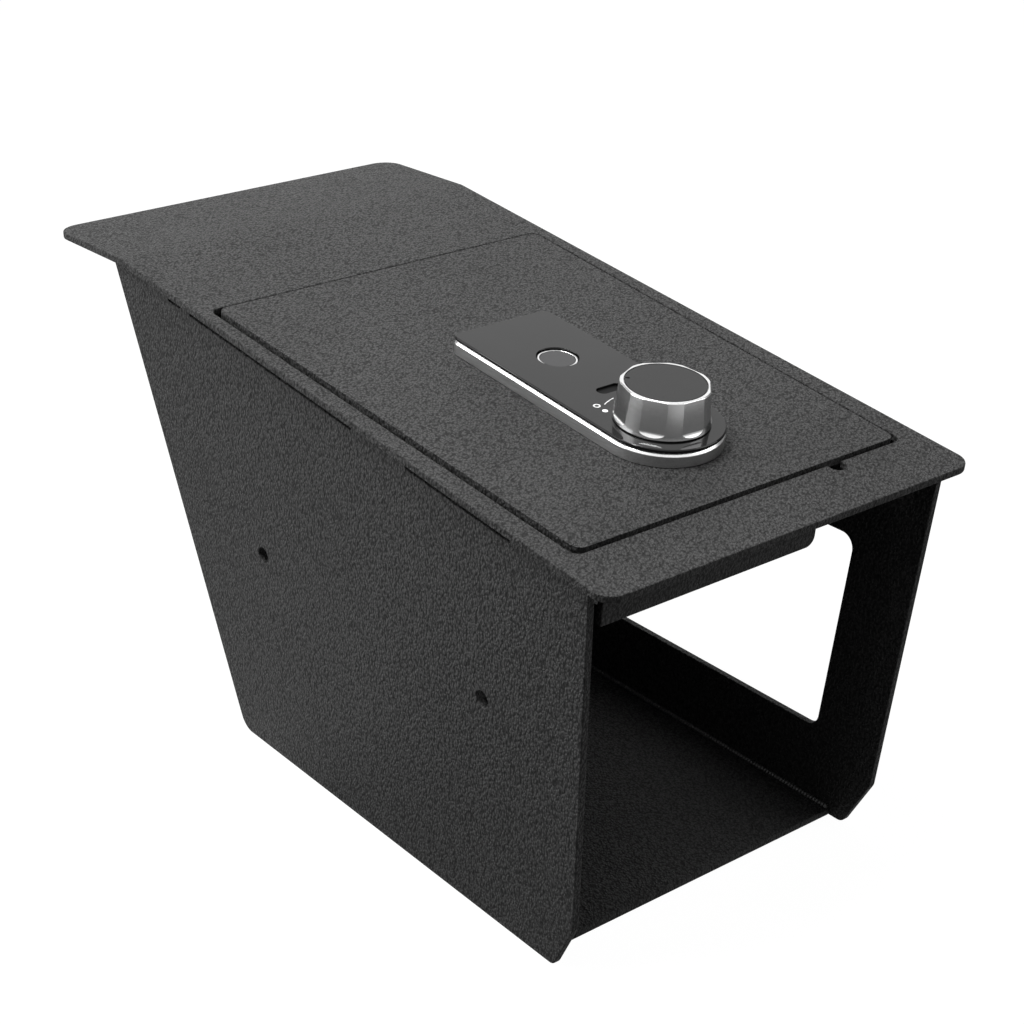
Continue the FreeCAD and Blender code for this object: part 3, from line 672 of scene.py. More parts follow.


# The coat finishes run from a dark colour in the hollows to a paler one on the crests: the darker hollows are
# painted shade.
POWDER = Finish("textured_powder", "powder_black", low=grey(0.011), high=grey(0.058), rough_low=0.62,
                rough_high=0.5, relief=Relief.COAT, grain=0.00105, depth=0.0009, ior=1.26, drift=0.06)
WELD = Finish("coated_weld", "weld_black", low=grey(0.032), high=grey(0.055), rough_low=0.6,
              rough_high=0.45, relief=Relief.COAT, grain=0.0011, depth=0.0002)
CHROME_TRIM = Finish("satin_chrome", "chrome_trim", low=grey(0.80), high=grey(0.86), rough_low=0.2,
                     rough_high=0.26, relief=Relief.BRUSH, grain=0.00045, depth=0.000001, metallic=1.0,
                     drift=0.03)
# Satin side of the rim: its higher roughness is the real finish, its darker colour is painted shade on the
# sideways faces.
SATIN_SIDE_PAINTED_SHADE = Finish("satin_side_painted_shade", "chrome_trim", low=grey(0.38), high=grey(0.48), rough_low=0.36,
                    rough_high=0.42, relief=Relief.BRUSH, grain=0.0004, depth=0.000002, metallic=1.0,
                    drift=0.04)
CHROME = Finish("bright_chrome", "chrome_bright", low=grey(0.80), high=grey(0.86), rough_low=0.18,
                rough_high=0.22, relief=Relief.BRUSH, grain=0.0004, depth=0.000001, metallic=1.0,
                drift=0.02)
GLOSS = Finish("gloss_face", "gloss_black", low=grey(0.005), high=grey(0.007), rough_low=0.03,
               rough_high=0.07, grain=0.01, ior=1.37)
LENS = Finish("smoked_lens", "smoke_lens", low=grey(0.002), high=grey(0.004), rough_low=0.3, rough_high=0.4,
              ior=1.15)
SENSOR = Finish("sensor_window", "sensor_glass", low=(0.010, 0.010, 0.011), high=(0.013, 0.013, 0.014),
                rough_low=0.06, rough_high=0.1)
MOULDED = Finish("moulded_black", "moulded_black", low=grey(0.022), high=grey(0.034), rough_low=0.6,
                 rough_high=0.48, relief=Relief.MOULD, grain=0.0006, depth=0.00003)
CAP_BLACK = Finish("satin_cap", "cap_black", low=grey(0.013), high=grey(0.018), rough_low=0.36,
                   rough_high=0.3, relief=Relief.MOULD, grain=0.0005, depth=0.000006, ior=1.3, drift=0.04)
BRIGHT_STEEL = Finish("drawn_steel", "pin_steel", low=grey(0.42), high=grey(0.58), rough_low=0.22,
                      rough_high=0.34, relief=Relief.BRUSH, grain=0.0005, depth=0.00001, metallic=1.0)
PLATED = Finish("zinc_plate", "plated_steel", low=(0.40, 0.41, 0.42), high=(0.56, 0.56, 0.55),
                rough_low=0.3, rough_high=0.42, relief=Relief.MOULD, grain=0.0012, depth=0.00001,
                metallic=1.0, drift=0.12)
BRASS = Finish("turned_brass", "lock_brass", low=(0.56, 0.42, 0.18), high=(0.70, 0.54, 0.26), rough_low=0.2,
               rough_high=0.32, relief=Relief.BRUSH, grain=0.0005, depth=0.00001, metallic=1.0)
BRONZE = Finish("sintered_bronze", "bush_brass", low=(0.40, 0.28, 0.14), high=(0.56, 0.42, 0.22),
                rough_low=0.4, rough_high=0.55, relief=Relief.MOULD, grain=0.0005, depth=0.00002,
                metallic=1.0)
RUBBER = Finish("rest_rubber", "rubber_black", low=grey(0.018), high=grey(0.028), rough_low=0.75,
                rough_high=0.62, relief=Relief.MOULD, grain=0.0008, depth=0.00004)
BOARD = BoardFinish("solder_mask", "board_green", low=(0.012, 0.085, 0.035), high=(0.03, 0.17, 0.07),
                    rough_low=0.25, rough_high=0.35)
COIL = CoilFinish("taped_coil", "coil_tape", low=(0.20, 0.13, 0.03), high=(0.42, 0.30, 0.08),
                  rough_low=0.35, rough_high=0.45)
WRAPPER = Finish("cell_wrapper", "cell_wrap", low=(0.05, 0.06, 0.09), high=(0.07, 0.08, 0.12),
                 rough_low=0.28, rough_high=0.34, grain=0.005)
PRINT = Finish("panel_print", "chrome_trim", low=grey(0.70), high=grey(0.78), rough_low=0.45,
               rough_high=0.5)
CHIP = Finish("chip_epoxy", "moulded_black", low=grey(0.018), high=grey(0.026), rough_low=0.5,
              rough_high=0.4, relief=Relief.MOULD, grain=0.0003, depth=0.00001)


# ---- handing pieces over -------------------------------------------------------------------------
def hand_over(piece: bpy.types.Object, name: str, body: str, finish: Finish, stands_for: Iterable[str] = (),
              on_face: bool = False) -> bpy.types.Object:
    """Dress a finished piece and let it ride on its body.

    Args:
        piece: the finished object.
        name: its name in the model.
        body: the CAD body that carries it.
        finish: its finish, which also names its slot.
        stands_for: CAD nodes that it is shown in place of.
        on_face: whether it was modelled in the face's axes.

    Returns:
        The piece.
    """
    set_in_place(piece, on_face)
    piece.name = name
    piece.data.name = name
    if not piece.data.materials:
        piece.data.materials.append(finish.material())
    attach(piece, body)
    if stands_for:
        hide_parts(*stands_for)
    log.info("%s on %s: %d faces", name, body, len(piece.data.polygons))
    return piece


def two_finishes(piece: bpy.types.Object, first: Finish, second: Finish,
                 test: Callable[[Vector, Vector], bool]) -> None:
    """Give a piece one finish and some of its faces another.

    Args:
        piece: the piece.
        first: finish of most of it.
        second: finish of the picked faces.
        test: says from a face's centre, in millimetres, and its normal whether it is picked.
    """
    piece.data.materials.append(first.material())
    piece.data.materials.append(second.material())
    pick_faces(piece, test)
    bpy.context.object.active_material_index = 1
    bpy.ops.object.material_slot_assign()
    close_edit()


def body_of_node(node: str) -> str:
    """Name of the body that carries a CAD node."""
    bodies = frame["record"]["behaviour"]["bodies"]
    return next(name for name, nodes in bodies.items() if node in nodes)


def copy_of(node: str) -> bpy.types.Object:
    """Copy a CAD node's mesh, merged and free to be worked on.

    Args:
        node: the CAD node.

    Returns:
        The copy.
    """
    source = frame["nodes"][node]
    choose(source)
    bpy.ops.object.duplicate()
    piece = fresh()
    for key in list(piece.keys()):
        del piece[key]
    piece.parent = None
    piece.matrix_world = Matrix.Identity(4)
    piece.data.materials.clear()
    choose(piece)
    bpy.ops.mesh.customdata_custom_splitnormals_clear()
    bpy.ops.object.mode_set(mode="EDIT")
    bpy.ops.mesh.select_mode(type="VERT")
    bpy.ops.mesh.select_all(action="SELECT")
    bpy.ops.mesh.remove_doubles(threshold=MERGE)
    bpy.ops.mesh.dissolve_limited(angle_limit=math.radians(FLAT_ANGLE))
    close_edit()
    return piece


def soften(node: str, finish: Finish, width: float = 0.3, steps: int = 2) -> bpy.types.Object:
    """Show a CAD node with its edges rounded over.

    Args:
        node: the CAD node.
        finish: its finish.
        width: width of the rounding, in millimetres.
        steps: facets across the rounding.

    Returns:
        The rounded piece, which stands for the node.
    """
    piece = copy_of(node)
    round_over(piece, width, steps)
    return hand_over(piece, node + "_finished", body_of_node(node), finish, [node])


def soften_all(rows: Iterable[Rounding]) -> None:
    """Soften several CAD nodes, each given with its finish and the width of its rounding."""
    for node, finish, width in rows:
        soften(node, finish, width)


# ---- welded box ----------------------------------------------------------------------------------
@dataclass
class WeldedBox:
    """Bent and welded steel: face plate, walls, floor, stiffener and weld beads."""

    edge: float = 0.45
    bead_radius: float = 1.3
    bead_pitch: float = 1.6
    bead_lap: float = 0.4
    bead_inset: float = 0.9
    bead_seat: float = 0.5
    half_width: float = 90.0
    plate_under: float = -3.0
    seam_gap: float = 2.9
    seam_over: float = 0.3
    seam_rise: float = 1.0
    seam_reach: float = 30.0
    seams: tuple[tuple[float, float], ...] = ((53.0, 113.0), (148.0, 262.0), (270.0, 279.0))
    plain: tuple[str, ...] = ("frame_plate", "floor_plate", "rear_wall", "front_stiffener", "lid_rests")
    pad_edge: float = 0.15

    def build(self) -> None:
        """Finish every piece of the welded box."""
        soften_all((node, POWDER, self.edge) for node in self.plain)
        self.wall("left_wall", -1)
        self.wall("right_wall", 1)
        soften("rest_pads", RUBBER, self.pad_edge)
        self.beads()

    def wall(self, node: str, side: int) -> bpy.types.Object:
        """Side wall with the open seams between its weld tabs.

        Args:
            node: the wall's CAD node.
            side: -1 on the left and 1 on the right.

        Returns:
            The finished wall.
        """
        piece = copy_of(node)
        for start, end in self.seams:
            middle = (side * self.half_width, (start + end) / 2,
                      self.plate_under + (self.seam_rise - self.seam_gap) / 2)
            gap = block(middle, (self.seam_reach, end - start + 2 * self.seam_over,
                                 self.seam_gap + self.seam_rise))
            set_in_place(gap, True)
            carve(piece, gap)
        round_over(piece, self.edge)
        return hand_over(piece, node + "_finished", "base", POWDER, [node])

    def beads(self) -> bpy.types.Object:
        """Rippled fillet welds along both sides of the floor.

        Returns:
            The joined beads.
        """
        low, high = (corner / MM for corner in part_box("floor_welds"))
        clear_choice()
        bpy.ops.mesh.primitive_uv_sphere_add(segments=10, ring_count=6, radius=self.bead_radius * MM)
        ripple = fresh()
        pick_faces(ripple, lambda c, n: n.y < -0.2)
        bpy.ops.transform.translate(value=(0, self.bead_lap * MM, 0))
        close_edit()
        count = int((high.y - low.y) / self.bead_pitch) - 1
        alongs = [low.y + self.bead_pitch * (k + 1) for k in range(count)]
        reaches = (low.x + self.bead_inset, high.x - self.bead_inset)
        level = low.z + self.bead_seat
        beads = repeat(ripple, [(reach, along, level) for reach in reaches for along in alongs])
        choose(beads)
        bpy.ops.object.shade_smooth()
        return hand_over(beads, "floor_welds_finished", "base", WELD, ["floor_welds"])


@dataclass
class LidHinge:
    """Pin, brackets and leaves that carry the lid."""

    softened: tuple[Rounding, ...] = (
        ("hinge_brackets", POWDER, 0.25), ("hinge_pin", BRIGHT_STEEL, 0.3), ("hinge_leaves", POWDER, 0.25))

    def build(self) -> None:
        """Finish the hinge."""
        soften_all(self.softened)


@dataclass
class Lid:
    """The lid's steel plate."""

    edge: float = 0.8
    edge_steps: int = 3

    def build(self) -> None:
        """Finish the lid plate."""
        soften("lid_plate", POWDER, self.edge, self.edge_steps)


# ---- lock panel ----------------------------------------------------------------------------------
@dataclass
class LockPanel:
    """Chrome rim, glossy face, fingerprint sensor, lens and printed marks."""

    face_h: float = 8.2
    knob_v: float = 75.0
    mark_x: float = -13.8
    mark_vs: tuple[float, float] = (95.7, 91.0)
    ring_radius: float = 1.15
    ring_wire: float = 0.32
    ring_flatness: float = 0.1
    dot_radius: float = 1.15
    print_height: float = 0.03
    arc_radius: float = 22.7
    arc_width: float = 0.4
    arc_start: float = 0.05
    arc_steps: int = 12
    arc_merge: float = 0.001
    below_sensor: tuple[Rounding, ...] = (
        ("lock_base", MOULDED, 0.1), ("lock_face", GLOSS, 0.12))
    after_sensor: tuple[Rounding, ...] = (
        ("status_lens", LENS, 0.15), ("panel_bolts", PLATED, 0.3))
    sensor_lift: float = 0.35
    ring_edge: float = 0.15
    pad_edge: float = 0.2
    sensor_steps: int = 3
    bezel_edge: float = 0.35
    bezel_steps: int = 3
    bezel_angle: float = 20.0
    # Faces that point more sideways than this get the rim's painted shade.
    painted_shade_side_limit: float = 0.35
    arc_from: float = 101.0
    arc_to: float = 118.0

    def build(self) -> None:
        """Finish the panel."""
        self.bezel()
        soften_all(self.below_sensor)
        self.sensor("sensor_ring", CHROME, self.ring_edge)
        self.sensor("sensor_pad", SENSOR, self.pad_edge)
        soften_all(self.after_sensor)
        self.marks()

    def bezel(self) -> bpy.types.Object:
        """Rim with a satin side under its bright bevel.

        Returns:
            The rim.
        """
        rim = copy_of("lock_bezel")
        round_over(rim, self.bezel_edge, self.bezel_steps, self.bezel_angle)
        # The sideways faces take the darker copy of the chrome: painted shade.
        two_finishes(rim, CHROME_TRIM, SATIN_SIDE_PAINTED_SHADE, lambda c, n: abs(n.dot(PLATE.outward)) < self.painted_shade_side_limit)
        return hand_over(rim, "lock_bezel_finished", "lid", CHROME_TRIM, ["lock_bezel"])

    def sensor(self, node: str, finish: Finish, edge: float) -> bpy.types.Object:
        """Part of the sensor, seated a little higher in its well.

        Args:
            node: the CAD node.
            finish: its finish.
            edge: width of its rounded edge, in millimetres.

        Returns:
            The finished part.
        """
        piece = copy_of(node)
        round_over(piece, edge, self.sensor_steps)
        piece.location = PLATE.outward * self.sensor_lift * MM
        return hand_over(piece, node + "_finished", "lid", finish, [node])

    def marks(self) -> bpy.types.Object:
        """A ring, a dot and a short arc printed beside the knob.

        Returns:
            The joined marks.
        """
        clear_choice()
        bpy.ops.mesh.primitive_torus_add(major_radius=self.ring_radius * MM, minor_radius=self.ring_wire * MM,
                                         major_segments=28, minor_segments=6,
                                         location=(self.mark_x * MM, self.mark_vs[0] * MM, self.face_h * MM))
        ring = fresh()
        ring.scale = (1, 1, self.ring_flatness)
        dot = barrel((self.mark_x, self.mark_vs[1], self.face_h), self.dot_radius, self.print_height, 28)
        marks = weld_together([dot, ring, self.arc()])
        return hand_over(marks, "panel_marks", "lid", PRINT, on_face=True)

    def arc(self) -> bpy.types.Object:
        """Thin arc about the knob's axis, spun from one short bar.

        Returns:
            The arc.
        """
        bar = block((self.arc_radius, 0, self.print_height / 2),
                    (self.arc_width, self.arc_start, self.print_height))
        bpy.ops.object.transform_apply(location=True, rotation=False, scale=False)
        bar.rotation_euler = (0, 0, math.radians(self.arc_from))
        bar.location = (0, self.knob_v * MM, self.face_h * MM)
        bpy.ops.object.transform_apply(location=True, rotation=True, scale=False)
        start = math.radians(self.arc_from + 90)
        across = Vector((math.cos(start), math.sin(start), 0))
        pick_faces(bar, lambda c, n: n.dot(across) > 0.9)
        bpy.ops.mesh.spin(steps=self.arc_steps, angle=math.radians(self.arc_from - self.arc_to),
                          axis=(0, 0, 1), center=(0, self.knob_v * MM, self.face_h * MM))
        bpy.ops.mesh.select_all(action="SELECT")
        bpy.ops.mesh.remove_doubles(threshold=self.arc_merge * MM)
        bpy.ops.mesh.normals_make_consistent(inside=False)
        close_edit()
        return bar


# ---- knob ----------------------------------------------------------------------------------------
@dataclass
class Knob:
    """Milled knob with its cap and the emergency lock under the cap, all in the face's axes."""

    axis_v: float = 75.0
    foot_h: float = 8.5
    height: float = 14.88
    foot_radius: float = 18.45
    top_radius: float = 17.0
    foot_round: float = 0.4
    rim_round: float = 0.5
    flats: int = 7
    first_flat: float = 9.5
    blank_sides: int = 192
    seat_sides: int = 128
    key_sides: int = 96
    flat_foot: float = 3.1
    low_apothem: float = 17.5
    top_apothem: float = 16.35
    cutter_width: float = 12.0
    cutter_depth: float = 8.0
    cutter_rise: float = 1.0
    runout: float = 3.0
    runout_turn: float = 52.0
    runout_steps: int = 9
    ease_steps: int = 4
    cap_seat: float = 15.6
    cap_depth: float = 2.4
    key_seat: float = 4.0
    key_bore: float = 6.0
    spindle_bore: float = 4.0
    cap_radius: float = 15.2
    cap_thick: float = 2.35
    cap_gap: float = 0.03
    cap_edge: float = 0.12
    notch_reach: float = 14.6
    notch_turn: float = 134.0
    notch_size: Triple = (2.4, 1.1, 3.6)
    shade_angle: float = 9.0
    softened: tuple[Rounding, ...] = (
        ("key_cylinder", BRASS, 0.25), ("key_plug", BRASS, 0.15),
        ("knob_spindle", BRIGHT_STEEL, 0.3), ("drive_cam", PLATED, 0.2))

    def build(self) -> None:
        """Finish the knob and what turns with it."""
        self.body()
        self.cap()
        soften_all(self.softened)

    def slide(self, tool: bpy.types.Object, level: float, shift: float) -> None:
        """Move a cutter's inner corners at one level along v.

        Args:
            tool: the cutter.
            level: height of the corners, in millimetres.
            shift: how far they move, in millimetres.
        """
        reach = self.axis_v + self.low_apothem + self.cutter_depth / 2 - 1
        edit(tool, "VERT")
        for vertex in tool.data.vertices:
            spot = tool.matrix_world @ vertex.co / MM
            vertex.select = abs(spot.z - level) < 0.01 and spot.y < reach
        bpy.ops.object.mode_set(mode="EDIT")
        bpy.ops.transform.translate(value=(0, shift * MM, 0))
        close_edit()

    def cutter(self) -> bpy.types.Object:
        """What is milled away for one flat, with its curved run-out below.

        Returns:
            The cutter for a flat on the +v side.
        """
        foot = self.foot_h + self.flat_foot
        lean = (self.low_apothem - self.top_apothem) / (self.height - self.flat_foot)
        top = self.foot_h + self.height + self.cutter_rise
        middle = (0, self.axis_v + self.low_apothem + self.cutter_depth / 2, (foot + top) / 2)
        tool = block(middle, (self.cutter_width, self.cutter_depth, top - foot))
        self.slide(tool, top, -lean * (top - foot))
        level = foot
        for step in range(self.runout_steps):
            before = math.radians(self.runout_turn * step / self.runout_steps)
            after = math.radians(self.runout_turn * (step + 1) / self.runout_steps)
            drop = self.runout * (math.sin(after) - math.sin(before))
            pick_faces(tool, lambda c, n: n.z < -0.95)
            bpy.ops.mesh.extrude_region_move(TRANSFORM_OT_translate={"value": (0, 0, -drop * MM)})
            close_edit()
            level -= drop
            self.slide(tool, level, self.runout * (math.cos(before) - math.cos(after)))
        return tool

    def ease(self, piece: bpy.types.Object, level: float, width: float) -> None:
        """Round the outer edge of a piece at one level.

        Args:
            piece: the piece.
            level: height of the edge, in millimetres.
            width: width of the rounding, in millimetres.
        """
        pick_edges(piece, lambda a, b: abs(a.z - level) + abs(b.z - level) < 0.01)
        bpy.ops.mesh.bevel(offset=width * MM, segments=self.ease_steps, affect="EDGES")
        close_edit()

    def body(self) -> bpy.types.Object:
        """Turned cone with its foot rounded, its flats milled, its rim rounded and its bores cut.

        Returns:
            The knob body.
        """
        knob = barrel((0, self.axis_v, self.foot_h), self.foot_radius, self.height, self.blank_sides,
                      self.top_radius)
        self.ease(knob, self.foot_h, self.foot_round)
        pattern = self.cutter()
        for k in range(self.flats):
            choose(pattern)
            bpy.ops.object.duplicate()
            turn = math.radians(self.first_flat - 90 + 360 * k / self.flats)
            bpy.ops.transform.rotate(value=-turn, orient_axis="Z", orient_type="GLOBAL",
                                     center_override=(0, self.axis_v * MM, 0))
            carve(knob, fresh())
        bpy.data.objects.remove(pattern)
        top = self.foot_h + self.height
        self.ease(knob, top, self.rim_round)
        carve(knob, barrel((0, self.axis_v, top - self.cap_depth), self.cap_seat, self.cap_depth + 1,
                           self.seat_sides))
        carve(knob, barrel((0, self.axis_v, self.foot_h + self.key_seat), self.key_bore, self.height,
                           self.key_sides))
        carve(knob, barrel((0, self.axis_v, self.foot_h - 1), self.spindle_bore, self.key_seat + 2))
        shade(knob, self.shade_angle)
        apply_modifier(knob, "WEIGHTED_NORMAL", keep_sharp=True)
        return hand_over(knob, "knob_finished", "knob", CHROME, ["knob"], on_face=True)

    def cap(self) -> bpy.types.Object:
        """Pull-off cap with a notch to lift it by.

        Returns:
            The cap.
        """
        foot = self.foot_h + self.height - self.cap_depth + self.cap_gap
        cap = barrel((0, self.axis_v, foot), self.cap_radius, self.cap_thick, self.seat_sides)
        round_over(cap, self.cap_edge)
        notch = block((0, 0, 0), self.notch_size)
        turn = math.radians(self.notch_turn)
        notch.rotation_euler = (0, 0, turn)
        across, along = self.notch_reach * math.cos(turn), self.notch_reach * math.sin(turn)
        notch.location = Vector((across, self.axis_v + along, foot + self.cap_thick)) * MM
        carve(cap, notch)
        shade(cap)
        return hand_over(cap, "knob_cap_finished", "cap", CAP_BLACK, ["knob_cap"], on_face=True)


# ---- what is under the lid -----------------------------------------------------------------------
@dataclass
class BoltWork:
    """Bolt, its guides and the solenoid that locks it."""

    softened: tuple[Rounding, ...] = (
        ("lock_bolt", PLATED, 0.3), ("bolt_guides", PLATED, 0.2), ("spindle_bush", BRONZE, 0.15),
        ("solenoid_body", COIL, 0.3), ("solenoid_plunger", BRIGHT_STEEL, 0.15))

    def build(self) -> None:
        """Finish the bolt work."""
        soften_all(self.softened)
        spring = copy_of("plunger_spring")
        choose(spring)
        bpy.ops.object.shade_smooth()
        hand_over(spring, "plunger_spring_finished", "lid", BRIGHT_STEEL, ["plunger_spring"])


@dataclass
class LockCover:
    """Pressed cover with four recessed-head screws, and the circuit board inside it."""

    cover_edge: float = 0.5
    cover_steps: int = 3
    softened: tuple[Rounding, ...] = (
        ("circuit_board", BOARD, 0.1), ("board_standoffs", BRASS, 0.2))
    under_lid: float = -2.2
    flange: float = 1.5
    screw_x: float = 41.5
    screw_vs: tuple[float, float] = (40.5, 138.5)
    head_radius: float = 2.8
    head_height: float = 1.8
    head_round: float = 0.9
    cross_turn: float = 0.3
    slot_size: tuple[float, float, float] = (3.0, 0.7, 1.6)
    shank_radius: float = 1.5
    shank_length: float = 3.0
    board_h: float = -18.2
    board_thick: float = 1.6
    chips: tuple[tuple[float, ...], ...] = (
        (-12, 118, 9, 9, 1.4), (10, 112, 6, 8, 1.4), (12, 128, 5, 5, 1.2),
        (-24, 126, 8, 5, 2.2), (22, 118, 4, 9, 1.8), (-22, 110, 5, 4, 1.2))
    chip_edge: float = 0.25
    cans: tuple[tuple[float, float], ...] = ((0, 131), (5, 104), (-6, 104))
    can_radius: float = 1.9
    can_height: float = 2.4
    can_edge: float = 0.3

    def build(self) -> None:
        """Finish the cover, its screws and the board."""
        soften("lock_cover", POWDER, self.cover_edge, self.cover_steps)
        soften_all(self.softened)
        self.screws()
        self.board_parts()

    def screws(self) -> bpy.types.Object:
        """Domed screws with a cross recess.

        Returns:
            The joined screws.
        """
        seat = self.under_lid - self.flange
        screw = barrel((0, 0, -self.head_height), self.head_radius, self.head_height, 40)
        pick_edges(screw, lambda a, b: max(a.z, b.z) < 0.01 - self.head_height)
        bpy.ops.mesh.bevel(offset=self.head_round * MM, segments=4, affect="EDGES")
        close_edit()
        for turn in (self.cross_turn, self.cross_turn + math.pi / 2):
            slot = block((0, 0, 0), self.slot_size)
            slot.rotation_euler = (0, 0, turn)
            slot.location = (0, 0, -self.head_height * MM)
            carve(screw, slot)
        screw = weld_together([screw, barrel((0, 0, 0), self.shank_radius, self.shank_length, 24)])
        screws = repeat(screw, [(x, v, seat) for x in (-self.screw_x, self.screw_x) for v in self.screw_vs])
        shade(screws)
        return hand_over(screws, "cover_screws_finished", "lid", PLATED, ["cover_screws"], on_face=True)

    def board_parts(self) -> bpy.types.Object:
        """Chips, capacitors and a plug socket under the board.

        Returns:
            The joined parts.
        """
        foot = self.board_h - self.board_thick
        parts = []
        for x, v, width, length, height in self.chips:
            chip = block((x, v, foot - height / 2), (width, length, height))
            round_over(chip, self.chip_edge)
            parts.append(chip)
        can = barrel((0, 0, -self.can_height), self.can_radius, self.can_height, 28)
        round_over(can, self.can_edge)
        joined = weld_together([*parts, repeat(can, [(x, v, foot) for x, v in self.cans])])
        return hand_over(joined, "board_parts", "lid", CHIP, on_face=True)


@dataclass
class BatteryPack:
    """Tray, four cells and the hinged door over them."""

    softened: tuple[Rounding, ...] = (
        ("battery_tray", MOULDED, 0.3), ("door_pin", BRIGHT_STEEL, 0.2))
    cell_edge: float = 0.35
    door_edge: float = 0.25
    door_under: float = -19.9
    rib_vs: tuple[float, ...] = (188.0, 190.5, 193.0, 195.5)
    rib_size: Triple = (22.0, 1.0, 0.6)
    rib_sink: float = 0.2
    bare_end: float = 1.6

    def build(self) -> None:
        """Finish the battery pack."""
        soften_all(self.softened)
        self.cells()
        self.door()

    def cells(self) -> bpy.types.Object:
        """Wrapped cells with bare ends.

        Returns:
            The four cells as one piece.
        """
        cells = copy_of("battery_cells")
        round_over(cells, self.cell_edge, 3)
        turn_back = PLATE.matrix().inverted()
        ends = [turn_back @ v.co / MM for v in cells.data.vertices]
        low = min(p.y for p in ends) + self.bare_end
        high = max(p.y for p in ends) - self.bare_end
        two_finishes(cells, WRAPPER, BRIGHT_STEEL,
                     lambda c, n: not low < (turn_back @ (c * MM) / MM).y < high)
        return hand_over(cells, "battery_cells_finished", "lid", WRAPPER, ["battery_cells"])

    def door(self) -> bpy.types.Object:
        """Door with grip ribs near its free end.

        Returns:
            The ribbed door.
        """
        panel = copy_of("battery_door")
        round_over(panel, self.door_edge)
        rib = block((0, 0, 0), self.rib_size)
        round_over(rib, self.door_edge)
        grip = repeat(rib, [(0, v, self.door_under - self.rib_sink) for v in self.rib_vs])
        set_in_place(grip, True)
        joined = weld_together([panel, grip])
        return hand_over(joined, "battery_door_finished", "door", MOULDED, ["battery_door"])


# ---- studio --------------------------------------------------------------------------------------
@dataclass(frozen=True)
class Softbox:
    """Square soft lamp over the object: its stand and side in metres, the height it faces and its watts."""

    name: str
    stand: Triple
    faces: float
    size: float
    power: float


